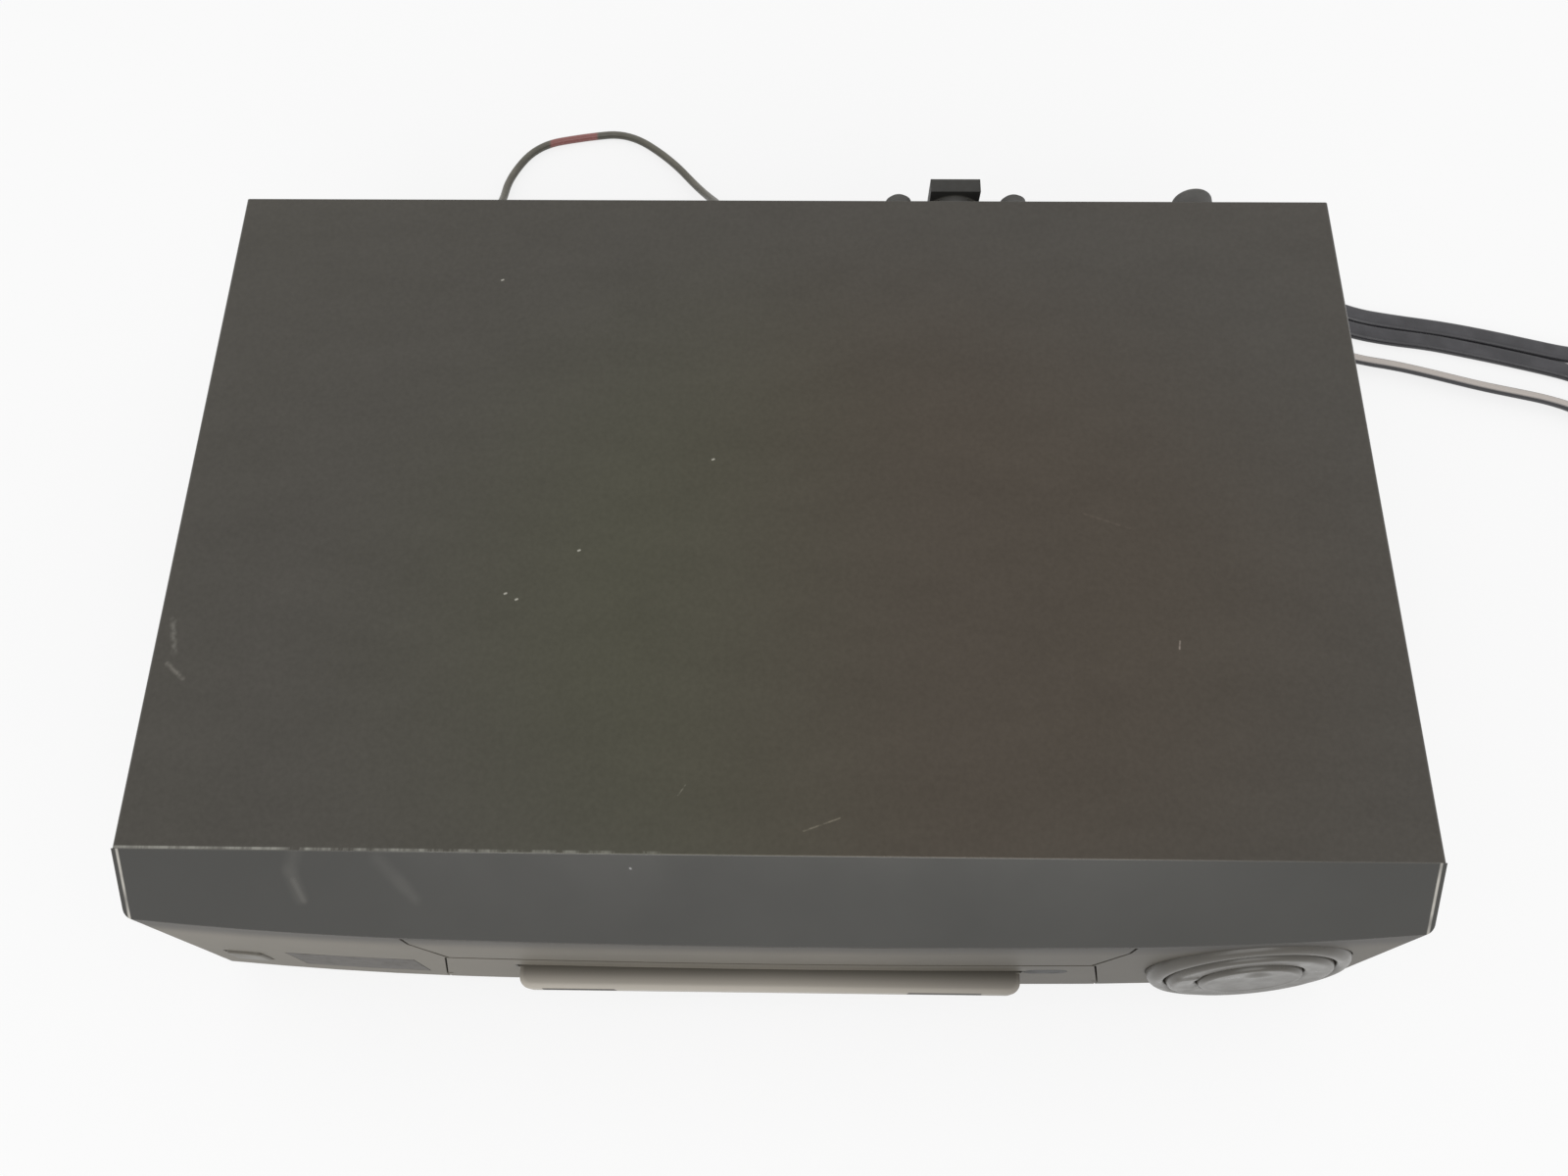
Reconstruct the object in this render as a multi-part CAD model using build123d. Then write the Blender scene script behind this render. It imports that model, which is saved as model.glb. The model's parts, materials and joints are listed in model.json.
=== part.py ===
from build123d import *
import math
import os

# Front-loading VHS video recorder. Millimetres, +Z up, the front faces -Y, and the origin is on the
# surface that the feet stand on, under the middle of the recorder.
os.makedirs("parts", exist_ok=True)

# ---------------------------------------------------------------- driving dimensions
# Case
case_width = 380.0
case_height = 94.0
case_rear_y = 122.1
cover_depth = 227.5
cover_sheet = 1.0
chassis_sheet = 1.2
foot_height = 7.0
foot_radius = 10.0
foot_inset_x = 34.0
foot_front_inset = 16.0
foot_rear_inset = 28.0
seat_gap = 0.3
screw_radius = 1.7
screw_head_radius = 3.8
screw_head_height = 1.8
side_flange_height = 20.0
side_screw_z = 21.0
side_screw_front_inset = 45.4
side_screw_rear_inset = 62.1
rear_screw_left_inset = 20.0
rear_screw_left_down = 14.0
rear_screw_middle_down = 10.0
rear_screw_right_inset = 16.0
rear_screw_right_z = 20.0
vent_inset = 90.0
vent_count = 12
vent_pitch = 6.0
vent_width = 2.5
vent_down = 12.0
vent_height = 20.0

# Fascia: a sloped brow on top, then a front that leans outwards all the way down
brow_run = 23.4
brow_drop = 19.4
front_lean = 0.09
fascia_wall = 2.5
front_flat_half = 100.0
front_flat_sag = 0.8
front_end_sag = 5.0
front_corner_radius = 2.5
rim_depth = 8.0
rim_wall = 2.0

# Cassette slot and its flap
slot_centre_x = -2.0
slot_side_room = 8.1
slot_flare = 6.7
slot_top_margin = 0.6
slot_height = 28.6
flap_wall = 2.2
flap_gap = 0.5
flap_side_gap = 0.9
flap_knee_down = 5.6
flap_dip = 1.1
flap_axis_back = 6.2
flap_axis_down = 2.4
hinge_pin_radius = 1.3
hinge_pin_length = 5.0
running_clearance = 0.08
ear_thickness = 2.0
ear_block = 8.0

# Flip-down control door
door_overhang = 0.9
door_flare = 7.5
door_gap = 0.5
door_axis_up = 4.2
door_axis_back = 5.5
door_lip = 3.0
grip_left_inset = 21.0
grip_right_inset = 21.5
grip_reach = 10.1
grip_down = 13.3
grip_height = 8.0
grip_groove_height = 4.0
grip_groove_depth = 1.3
pad_length = 24.0
pad_left_inset = 19.5
pad_right_inset = 24.5
pad_height = 3.0
pad_thickness = 0.8
sensor_beside = 7.5
sensor_length = 14.0
sensor_height = 7.0

# Control panel behind the door and its keys
panel_ahead = 18.6
panel_sheet = 2.0
key_width = 16.0
key_height = 6.0
key_pitch = 24.0
key_inset = 12.5
key_down = 17.3
key_proud = 3.0
key_travel = 0.8
key_cut_reach = 9.0
key_gap = 0.35
key_flange = 1.2
front_jack_inset = 16.5
front_jack_pitch = 16.0
front_jack_count = 3
power_key_inset = 16.0
power_key_size = 12.0
window_inset = 32.0
window_beside = 4.0
window_up = 9.0
window_down = 6.3
board_ahead = 7.6
board_sheet = 1.6
board_up = 4.3
board_down = 1.3
board_side_room = 9.0
board_tab = 20.0
board_tab_beside = 10.0
tube_behind = 5.6
tube_inset = 3.0
tube_margin = 2.0
key_switch_half = 3.0
key_switch_depth = 4.0

# Shuttle and jog dial
dial_down = 0.8
dial_height_room = 2.3
dial_side_room = 10.0
dial_turn = 3.0
dial_lean = 0.15
dial_stand = 0.85
bezel_proud = 1.4
bezel_depth = 4.8
bezel_flange = 2.2
shuttle_share = 0.8226
shuttle_proud = 2.4
jog_share = 0.516
jog_proud = 3.2
dial_gap = 0.4
dial_cup_depth = 9.0
dial_wall = 1.5
jog_shaft_radius = 3.0
shuttle_hub_radius = 5.0
carrier_inset = 3.0
carrier_depth = 6.5
encoder_size = 24.0
encoder_depth = 5.0
dimple_share = 0.344
dimple_offset_share = 0.531

# Rear panel sockets
modulator_left_x = 33.0
modulator_right_x = 93.0
modulator_depth = 34.0
modulator_down = 6.0
modulator_height = 30.0
coax_left_x = 41.5
coax_right_x = 83.2
coax_down = 15.5
coax_radius = 4.7
coax_nut_radius = 5.6
coax_reach = 12.8
coax_bore = 2.2
aerial_x = 62.0
aerial_width = 18.0
aerial_down = 10.0
aerial_height = 22.0
aerial_reach = 17.8
aerial_plate = 5.5
aerial_hole_depth = 10.0
round_body_half = 9.0
round_body_depth = 12.0
round_hole_depth = 9.0
round_edge_round = 2.0
aerial_collar_radius = 8.5
aerial_bore = 4.6
round_socket_inset = 40.0
round_socket_down = 20.0
round_socket_radius = 7.2
round_socket_reach = 17.3
round_socket_bore = 4.4
jack_z = 32.0
jack_barrel_radius = 4.15
jack_barrel_length = 9.0
jack_body_width = 12.0
jack_body_depth = 13.0
jack_insets = (46.0, 62.0, 166.0, 182.0)
jack_hole_gap = 0.3
front_jack_half_width = 5.5
front_jack_half_height = 6.0
front_jack_seat = 0.4
front_jack_reach = 5.0
front_jack_hole = 3.0
jack_bore = 1.7
switch_x = 78.0
switch_up = 6.0
switch_travel = 4.0
switch_knob = 4.0

# Tape deck
cassette_width = 187.0
cassette_height = 25.0
deck_centre_x = -4.0
deck_low_z = 24.8
deck_sheet = 1.2
deck_foot_room = 0.5
deck_front_inset = 13.4
deck_rear_inset = 26.1
deck_post_radius = 3.0
deck_post_inset = 8.0
cassette_play_z = 29.0
slot_sill = 3.6
cassette_travel = 62.0
cassette_side_gap = 1.5
holder_sheet = 1.0
holder_front_inset = 15.4
holder_depth = 46.0
holder_ledge = 8.0
holder_pin_radius = 2.0
slot_clearance = 0.15
carriage_sheet = 1.2
carriage_gap = 0.5
bracket_gap = 0.6
bracket_rear_y = 25.0
bracket_head = 1.8
bracket_foot = 8.0
drum_y = 52.0
drum_radius = 31.0
drum_tilt = 5.5
lower_drum_height = 14.0
upper_drum_height = 17.0
drum_gap = 0.4
drum_base = 5.0
drum_shaft_radius = 2.5
reel_spacing_share = 0.492
reel_y = -45.0
reel_radius = 20.0
reel_hub_radius = 9.5
reel_hub_height = 12.0
reel_table = 1.8
reel_pin_radius = 2.0
clutch_y = -84.0
clutch_roller_radius = 5.0
clutch_pulley_radius = 14.0
idler_side_room = 1.5
wheel_gap = 0.2
idler_thickness = 1.5
idler_arm_sheet = 0.7
capstan_share = 0.3316
capstan_y = 26.0
capstan_radius = 1.5
capstan_height = 24.0
capstan_boss_radius = 3.2
flywheel_radius = 25.0
flywheel_height = 4.0
flywheel_low_z = 15.2
drive_pulley_radius = 9.0
pulley_height = 3.0
belt_thickness = 1.0
belt_height = 2.4
pinch_pivot_share = 0.4385
pinch_pivot_y = 44.0
pinch_roller_radius = 6.0
pinch_roller_height = 17.0
pinch_swing = 25.0
pinch_contact_angle = -60.0
arm_sheet = 1.6
arm_half_width = 3.6
guide_start_share = 0.1711
guide_start_y = 8.0
guide_end_share = 0.2353
guide_end_y = 60.0
guide_base = 8.0
guide_base_height = 1.8
guide_pin_radius = 2.6
guide_height = 20.0
guide_key_radius = 1.5
tension_pivot_share = -0.3957
tension_pivot_y = 8.0
tension_pin_share = -0.2995
tension_pin_y = 22.0
head_height = 17.0
head_width = 9.0
head_depth = 7.0
erase_head_share = -0.3209
erase_head_y = 38.0
audio_head_share = 0.2888
audio_head_y = 42.0
cam_share = -0.4064
cam_y = 58.0
cam_radius = 18.0
cam_height = 14.0
cam_teeth = 36
worm_radius = 4.0
worm_length = 15.0
worm_z = 38.0
motor_radius = 10.0
motor_length = 24.0
motor_shaft_radius = 1.0

# Boards and power supply
main_board_low_z = 11.0
main_board_left_inset = 10.0
main_board_beside = 2.0
main_board_front_inset = 19.4
board_rear_inset = 8.1
chip_places = ((30.0, 40.0, 22.0), (30.0, -20.0, 16.0), (150.0, 0.0, 20.0), (40.0, 84.0, 12.0))
board_post_radius = 3.0
board_post_inset = 8.0
boards_apart = 4.0
power_board_right_inset = 8.0
power_board_front_inset = 45.4
transformer_size = (42.0, 36.0, 34.0)
transformer_share = 0.5833
transformer_y = 66.0
transformer_rim = 6.0
transformer_window = 9.0
sink_share = 0.1667
sink_y = 8.0
sink_width = 8.0
sink_length = 52.0
sink_height = 40.0
sink_fins = 6
capacitors = ((0.6944, 18.0, 9.0, 32.0), (0.6944, -6.0, 8.0, 26.0), (0.4444, -14.0, 5.0, 18.0),
              (0.4444, 4.0, 5.0, 18.0))

# Leads: a flat twin mains lead, drawn as a round of the same section, and a thin patch lead
mains_width = 7.4
mains_thickness = 3.9
mains_tube = 5.5
mains_exit_inset = 60.0
mains_exit_z = 24.0
relief_length = 30.0
relief_base_radius = 6.5
relief_tip_radius = 3.9
mains_coil_beside = 176.0
mains_coil_y = 8.0
mains_coil_radius = 38.3
mains_coil_columns = 3
mains_coil_layers = 1
plug_length = 32.0
plug_width = 21.0
plug_height = 15.0
blade_length = 17.0
blade_width = 6.3
blade_sheet = 1.5
blade_pitch = 12.7
patch_diameter = 3.3
patch_plug_radius = 5.2
patch_plug_length = 24.0
patch_plug_tail = 2.4

# ---------------------------------------------------------------- worked-out places
half_width = case_width / 2
cover_front_y = case_rear_y - cover_depth
brow_y = cover_front_y - brow_run
brow_z = case_height - brow_drop
chassis_top_z = foot_height + chassis_sheet
fascia_bottom_z = foot_height + 1.0
inner_half = half_width - cover_sheet - seat_gap
rear_panel_out_y = case_rear_y - cover_sheet
rear_panel_in_y = rear_panel_out_y - chassis_sheet
far = 400.0
cut_reach = 30.0
cut_front_y = brow_y - cut_reach

slot_half_bottom = cassette_width / 2 + slot_side_room
slot_half_top = slot_half_bottom + slot_flare
slot_top_z = brow_z - slot_top_margin
slot_low_z = slot_top_z - slot_height
door_half_top = slot_half_bottom + door_overhang
door_half_bottom = door_half_top + door_flare
door_right_x = slot_centre_x + door_half_bottom
door_top_z = slot_low_z - flap_dip
grip_left_x = slot_centre_x - door_half_top + grip_left_inset
grip_right_x = slot_centre_x + door_half_top - grip_right_inset
grip_front_y = brow_y - grip_reach
grip_top_z = door_top_z - grip_down
pad_places = (grip_left_x + pad_left_inset, grip_right_x - pad_right_inset)
sensor_x = grip_right_x + sensor_beside

panel_plate_y = cover_front_y - panel_ahead
key_z = door_top_z - key_down
key_names = ("eject_key", "rewind_key", "play_key", "forward_key", "stop_key")
key_places = [slot_centre_x - door_half_top + key_inset + i * key_pitch for i in range(len(key_names))]
front_jack_last_x = slot_centre_x + door_half_top - front_jack_inset
front_jack_places = [front_jack_last_x - i * front_jack_pitch for i in reversed(range(front_jack_count))]
power_key_x = power_key_inset - half_width
power_key_z = key_z
window_left_x = window_inset - half_width
window_right_x = slot_centre_x - door_half_bottom - window_beside
window_low_z = fascia_bottom_z + window_up
window_high_z = door_top_z - window_down
board_front_y = cover_front_y - board_ahead
board_low_z = chassis_top_z + board_up
board_high_z = door_top_z - board_down

# The dial fills the face beside the door, or its height where that is less.
dial_x = (door_right_x + half_width) / 2
dial_z = (fascia_bottom_z + brow_z) / 2 - dial_down
bezel_radius = min((brow_z - fascia_bottom_z) / 2 - dial_height_room,
                   (half_width - door_right_x) / 2 - dial_side_room)
shuttle_radius = bezel_radius * shuttle_share
jog_radius = bezel_radius * jog_share
dimple_radius = jog_radius * dimple_share
dimple_offset = jog_radius * dimple_offset_share

modulator_high_z = case_height - modulator_down
modulator_low_z = modulator_high_z - modulator_height
coax_z = case_height - coax_down
aerial_high_z = case_height - aerial_down
aerial_low_z = aerial_high_z - aerial_height
aerial_rear_y = case_rear_y + aerial_reach
round_socket_x = half_width - round_socket_inset
round_socket_z = case_height - round_socket_down
jack_row_x = [inset - half_width for inset in jack_insets]
switch_z = modulator_low_z + switch_up
mains_exit_x = half_width - mains_exit_inset

deck_top_z = deck_low_z + deck_sheet
holder_rest_z = slot_low_z + slot_sill
cassette_drop = holder_rest_z - cassette_play_z
holder_half = cassette_width / 2 + cassette_side_gap
carriage_in = holder_half + holder_sheet + carriage_gap
bracket_in = carriage_in + carriage_sheet + bracket_gap
deck_half = bracket_in + carriage_sheet + bracket_foot + deck_foot_room
deck_left_x = deck_centre_x - deck_half
deck_right_x = deck_centre_x + deck_half
deck_front_y = cover_front_y + deck_front_inset
deck_rear_y = case_rear_y - deck_rear_inset
deck_places = [(x, y) for x in (deck_left_x + deck_post_inset, deck_right_x - deck_post_inset)
               for y in (deck_front_y + deck_post_inset, deck_rear_y - deck_post_inset)]

board_top_z = main_board_low_z + board_sheet
board_rear_y = case_rear_y - board_rear_inset
main_board_left_x = main_board_left_inset - half_width
main_board_right_x = deck_right_x + main_board_beside
main_board_front_y = cover_front_y + main_board_front_inset
power_board_left_x = main_board_right_x + boards_apart
power_board_right_x = half_width - power_board_right_inset
power_board_width = power_board_right_x - power_board_left_x
power_board_front_y = cover_front_y + power_board_front_inset


def front_y(z):
    """Middle of the front at a height."""
    return brow_y - front_lean * (brow_z - z)


# ---------------------------------------------------------------- shape helpers
def block(x0, x1, y0, y1, z0, z1):
    return Pos((x0 + x1) / 2, (y0 + y1) / 2, (z0 + z1) / 2) * Box(x1 - x0, y1 - y0, z1 - z0)


def post(x, y, z0, z1, radius):
    return Pos(x, y, (z0 + z1) / 2) * Cylinder(radius, z1 - z0)


def rod_x(x0, x1, y, z, radius):
    return Pos((x0 + x1) / 2, y, z) * Rot(0, 90, 0) * Cylinder(radius, x1 - x0)


def rod_y(x, y0, y1, z, radius):
    return Pos(x, (y0 + y1) / 2, z) * Rot(90, 0, 0) * Cylinder(radius, y1 - y0)


def cone_y(x, y0, y1, z, radius0, radius1):
    """Round taper along +Y, radius0 at y0."""
    return Pos(x, (y0 + y1) / 2, z) * Rot(-90, 0, 0) * Cone(radius0, radius1, y1 - y0)


def prism_y(points, y0, y1):
    """A polygon of (x, z) points run from y0 to y1."""
    outline = Polyline(*[(x, y0, z) for x, z in points], close=True)
    return Solid.extrude(Face(Wire(outline.edges())), Vector(0, y1 - y0, 0))


def prism_x(points, x0, x1):
    """A polygon of (y, z) points run from x0 to x1."""
    outline = Polyline(*[(x0, y, z) for y, z in points], close=True)
    return Solid.extrude(Face(Wire(outline.edges())), Vector(x1 - x0, 0, 0))


def trapezoid(centre, half_low, half_high, z0, z1):
    return [(centre - half_low, z0), (centre + half_low, z0), (centre + half_high, z1),
            (centre - half_high, z1)]


def flared(centre, half_low, half_high, z0, knee, z1):
    """Trapezoid that is upright above its knee, so that what turns about its top clears its sides."""
    return [(centre - half_low, z0), (centre + half_low, z0), (centre + half_high, knee),
            (centre + half_high, z1),
            (centre - half_high, z1), (centre - half_high, knee)]


def bar_between(a, b, z0, z1, half):
    """A flat round-ended link from a to b."""
    length = math.dist(a, b)
    angle = math.degrees(math.atan2(b[1] - a[1], b[0] - a[0]))
    middle = Pos((a[0] + b[0]) / 2, (a[1] + b[1]) / 2, (z0 + z1) / 2)
    return middle * Rot(0, 0, angle) * extrude(SlotCenterToCenter(length, 2 * half), (z1 - z0) / 2, both=True)


def save(node, *shapes):
    solids = [solid for shape in shapes for solid in shape.solids()]
    export_step(solids[0] if len(solids) == 1 else Compound(solids), "parts/" + node + ".step")


# ---------------------------------------------------------------- fascia
def front_form(inset, back_y):
    """Solid inside the front's surface, drawn in by inset on every side but the back."""
    half = half_width - inset
    middle_y = front_y(case_height) + inset
    shoulder = (front_flat_half, middle_y + front_flat_sag)
    corner = (half, middle_y + front_end_sag)
    slope = 2 * front_flat_sag / front_flat_half
    height = case_height - fascia_bottom_z - inset
    # The whole outline leans forward on its way down, so its back starts that much further back.
    far_back = back_y + front_lean * height + 1
    middle = ThreePointArc((-shoulder[0], shoulder[1]), (0, middle_y), shoulder)
    right = TangentArc(shoulder, corner, tangent=(1, slope))
    left = TangentArc((-shoulder[0], shoulder[1]), (-corner[0], corner[1]), tangent=(-1, slope))
    back = Polyline(corner, (half, far_back), (-half, far_back), (-corner[0], corner[1]))
    outline = make_face([middle, right, back, left])
    front_corners = outline.vertices().filter_by(lambda v: abs(abs(v.X) - half) < 0.01 and v.Y < back_y)
    outline = fillet(front_corners, front_corner_radius - min(inset, front_corner_radius - 1))
    lean = Vector(0, -front_lean * height, -height)
    body = Solid.extrude(Pos(0, 0, case_height) * outline.faces()[0], lean)
    slope_length = math.hypot(brow_run, brow_drop)
    drop = inset * slope_length / brow_run
    top = case_height - drop
    above = [(cover_front_y + far, top), (cover_front_y, top),
             (cover_front_y - far, top - far * brow_drop / brow_run),
             (cover_front_y - far, far), (cover_front_y + far, far)]
    body = body - prism_x(above, -far, far)
    return body - block(-far, far, back_y, far, -far, far)


dial_plane = Plane(
    origin=(dial_x, front_y(dial_z) + front_flat_sag + 0.3 - dial_stand, dial_z),
    x_dir=(math.cos(math.radians(dial_turn)), math.sin(math.radians(dial_turn)), 0),
    z_dir=(math.sin(math.radians(dial_turn)), -math.cos(math.radians(dial_turn)), dial_lean),
)


def dial_disc(radius, z0, z1, bore=0.0):
    """Disc or ring about the dial's axis; +z is out of the front."""
    disc = Pos(0, 0, (z0 + z1) / 2) * Cylinder(radius, z1 - z0)
    if bore:
        disc = disc - Pos(0, 0, (z0 + z1) / 2) * Cylinder(bore, z1 - z0 + 2)
    return dial_plane.location * disc


outer_form = front_form(0, cover_front_y)
skin = outer_form - front_form(fascia_wall, cover_front_y + 1)
flap_skin = outer_form - front_form(flap_wall, cover_front_y + 1)

flap_axis_z = slot_top_z - flap_axis_down
flap_axis_y = front_y(flap_axis_z) + flap_axis_back
door_axis_z = fascia_bottom_z + door_axis_up
door_axis_y = front_y(door_axis_z) + door_axis_back
door_low_z = fascia_bottom_z
front_space = (cut_front_y, cover_front_y)

knee_z = flap_axis_z - flap_knee_down
slot_points = flared(slot_centre_x, slot_half_bottom, slot_half_top, door_top_z, knee_z, slot_top_z + 0.3)
door_points = trapezoid(slot_centre_x, door_half_bottom, door_half_top, fascia_bottom_z + door_axis_up,
                        door_top_z)
door_wall_edge_y = door_axis_y + math.hypot(door_axis_back - door_lip, door_axis_up) + door_gap


def hinge_block(side, axis_y, axis_z, inside_x):
    """Fascia lug that holds one end of a hinge pin, bored for it."""
    x0 = inside_x
    x1 = inside_x + side * (hinge_pin_length + 1.0)
    low, high = min(x0, x1), max(x0, x1)
    reach = front_y(axis_z) + front_flat_sag + fascia_wall - 0.6
    lug = block(low, high, reach, axis_y + ear_block / 2, axis_z - ear_block / 2, axis_z + ear_block / 2)
    depth = hinge_pin_length + 0.4
    bore_x = sorted((inside_x - side, inside_x + side * depth))
    return lug - rod_x(bore_x[0], bore_x[1], axis_y, axis_z, hinge_pin_radius + running_clearance)


def make_fascia():
    body = skin
    body = body - prism_y(slot_points, *front_space)
    body = body - prism_y(door_points, *front_space)
    low_door = trapezoid(slot_centre_x, door_half_bottom, door_half_bottom, foot_height - 5,
                         fascia_bottom_z + door_axis_up + 0.01)
    body = body - prism_y(low_door, front_space[0], door_wall_edge_y)
    inner_low = trapezoid(slot_centre_x, door_half_bottom, door_half_bottom, fascia_bottom_z + fascia_wall,
                          fascia_bottom_z + door_axis_up + 0.01)
    body = body - prism_y(inner_low, front_space[0], cover_front_y)
    rim_low_z = chassis_top_z + seat_gap
    rim_half = inner_half - seat_gap
    rim_high_z = case_height - cover_sheet - seat_gap
    rim = block(-rim_half, rim_half, cover_front_y - fascia_wall, cover_front_y + rim_depth, rim_low_z,
                rim_high_z)
    rim = rim - block(-rim_half + rim_wall, rim_half - rim_wall, -far, far, rim_low_z + rim_wall,
                      rim_high_z - rim_wall)
    body = body + (rim & (outer_form + block(-far, far, cover_front_y, far, -far, far)))
    for side in (-1, 1):
        body = body + hinge_block(side, flap_axis_y, flap_axis_z,
                                  slot_centre_x + side * (slot_half_top + flap_gap))
        body = body + hinge_block(side, door_axis_y, door_axis_z,
                                  slot_centre_x + side * (door_half_bottom + door_gap))
    body = body & (outer_form + block(-far, far, cover_front_y, far, -far, far))
    body = body - dial_disc(bezel_radius + seat_gap, bezel_proud - bezel_depth, 12)
    body = body - dial_disc(bezel_radius - bezel_flange, -12, 12)
    body = body - block(window_left_x, window_right_x, cut_front_y, cover_front_y - 12, window_low_z,
                        window_high_z)
    half_key = power_key_size / 2 + key_gap
    body = body - block(power_key_x - half_key, power_key_x + half_key, cut_front_y, cover_front_y - 12,
                        power_key_z - half_key, power_key_z + half_key)
    return body


def make_flap():
    points = flared(slot_centre_x, slot_half_bottom - flap_side_gap, slot_half_top - flap_side_gap,
                    slot_low_z, knee_z,
                    slot_top_z)
    flap = flap_skin & prism_y(points, *front_space)
    for side in (-1, 1):
        face = slot_centre_x + side * (slot_half_top - flap_gap - 2.0)
        edge = sorted((face, face - side * ear_thickness))
        ear = block(edge[0], edge[1], front_y(flap_axis_z) + 1.2, flap_axis_y + 2.2, flap_axis_z - 2.2,
                    slot_top_z - 0.1)
        pin = sorted((face - side * ear_thickness,
                      slot_centre_x + side * (slot_half_top + flap_gap + hinge_pin_length)))
        flap = flap + (ear & outer_form) + rod_x(pin[0], pin[1], flap_axis_y, flap_axis_z, hinge_pin_radius)
    return flap


def make_flap_spring():
    """Torsion spring coiled round the flap's left pin, with one leg on the fascia."""
    start = slot_centre_x - slot_half_top - flap_gap + 0.6
    ring = rod_x(start, start + 1.6, flap_axis_y, flap_axis_z, hinge_pin_radius + 0.9)
    ring = ring - rod_x(start - 1, start + 3, flap_axis_y, flap_axis_z, hinge_pin_radius + running_clearance)
    leg = block(start + 0.4, start + 1.2, flap_axis_y + hinge_pin_radius + 0.3,
                flap_axis_y + hinge_pin_radius + 0.9,
                flap_axis_z, slot_top_z + 1.2)
    return ring + leg


def make_control_door():
    low = trapezoid(slot_centre_x, door_half_bottom - door_gap, door_half_bottom - door_gap, door_low_z,
                    door_axis_z)
    high = trapezoid(slot_centre_x, door_half_bottom - door_gap, door_half_top - door_gap, door_axis_z,
                     door_top_z - door_gap)
    front = prism_y(low, *front_space) + prism_y(high, *front_space)
    door = skin & front
    door = door - block(-far, far, door_axis_y - door_axis_back + door_lip, far, -far,
                        fascia_bottom_z + fascia_wall)
    grip_low_z = grip_top_z - grip_height
    root_y = front_y(grip_top_z) + 1.2
    grip = block(grip_left_x, grip_right_x, grip_front_y, root_y, grip_low_z, grip_top_z)
    grip = fillet(grip.edges().filter_by(Axis.Z).group_by(Axis.Y)[0], 4.0)
    grip = fillet(grip.edges().filter_by(lambda e: abs(e.center().Z - grip_top_z) < 0.01
                                         and e.center().Y < root_y - 0.5), 2.0)
    groove = block(grip_left_x, grip_right_x, cut_front_y, front_y(grip_top_z) + grip_groove_depth,
                   grip_top_z,
                   grip_top_z + grip_groove_height)
    door = door - groove + grip
    for centre in pad_places:
        door = door - pad_block(centre, 0.0)
    door = door - sensor_block(0.0)
    for side in (-1, 1):
        face = slot_centre_x + side * (door_half_bottom - door_gap)
        edge = sorted((face, face - side * ear_thickness))
        ear = block(edge[0], edge[1], front_y(door_axis_z) + 1.0, door_axis_y + 2.0, door_axis_z - 2.0,
                    door_axis_z + 2.0)
        pin = sorted((face - side * ear_thickness, face + side * (door_gap * 2 + hinge_pin_length)))
        door = door + ear + rod_x(pin[0], pin[1], door_axis_y, door_axis_z, hinge_pin_radius)
    return door


def pad_block(centre, gap):
    """Grip inlay set into the face of the bar."""
    middle = grip_top_z - grip_height / 2
    return block(centre - pad_length / 2 + gap, centre + pad_length / 2 - gap, grip_front_y,
                 grip_front_y + pad_thickness,
                 middle - pad_height / 2 + gap, middle + pad_height / 2 - gap)


def sensor_block(gap):
    """Round-ended window for the remote control's beam, right through the door."""
    z = grip_top_z + sensor_height / 2 - 1
    slot = SlotOverall(sensor_length - 2 * gap, sensor_height - 2 * gap)
    depth = 20.0
    return Pos(sensor_x, brow_y, z) * Rot(90, 0, 0) * extrude(slot, depth / 2, both=True)


save("front_fascia", make_fascia())
save("cassette_flap", make_flap())
save("flap_spring", make_flap_spring())
save("control_door", make_control_door())
save("grip_pads", *[pad_block(centre, 0.05) for centre in pad_places])
save("sensor_window", flap_skin & sensor_block(0.1))
save("display_window", flap_skin & block(window_left_x + seat_gap, window_right_x - seat_gap, cut_front_y,
                                         cover_front_y - 12, window_low_z + seat_gap,
                                         window_high_z - seat_gap))


# ---------------------------------------------------------------- case
def side_screw_places():
    places = (cover_front_y + side_screw_front_inset, case_rear_y - side_screw_rear_inset)
    return [(side, y, side_screw_z) for side in (-1, 1) for y in places]


def rear_screw_places():
    return [(rear_screw_left_inset - half_width, rear_panel_out_y, case_height - rear_screw_left_down),
            (0.0, rear_panel_out_y, case_height - rear_screw_middle_down),
            (half_width - rear_screw_right_inset, rear_panel_out_y, rear_screw_right_z)]


def make_cover():
    top_in = case_height - cover_sheet
    cover = block(-half_width, half_width, cover_front_y, case_rear_y, fascia_bottom_z, case_height)
    cover = fillet(cover.edges().filter_by(Axis.Y).group_by(Axis.Z)[-1], 1.2)
    cover = cover - block(-half_width + cover_sheet, half_width - cover_sheet, -far, far, -far, top_in)
    for side, y, z in side_screw_places():
        cover = cover - rod_x(side * half_width - 3, side * half_width + 3, y, z, screw_radius + 0.2)
    return cover


def make_chassis():
    plate = block(-inner_half, inner_half, cover_front_y + 1.0, rear_panel_out_y, foot_height, chassis_top_z)
    for side in (-1, 1):
        x = sorted((side * inner_half, side * (inner_half - chassis_sheet)))
        plate = plate + block(x[0], x[1], cover_front_y + rim_depth + 2, rear_panel_in_y - 1, foot_height,
                              foot_height + side_flange_height)
    for side, y, z in side_screw_places():
        plate = plate - rod_x(side * inner_half - 3, side * inner_half + 3, y, z, screw_radius + 0.2)
    for x, y in deck_places:
        plate = plate + post(x, y, chassis_top_z - 0.2, deck_low_z, deck_post_radius)
    for left, right in ((main_board_left_x, main_board_right_x), (power_board_left_x, power_board_right_x)):
        for x in (left + board_post_inset, right - board_post_inset):
            for y in (power_board_front_y + board_post_inset, board_rear_y - board_post_inset):
                plate = plate + post(x, y, chassis_top_z - 0.2, main_board_low_z, board_post_radius)
    return plate


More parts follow.
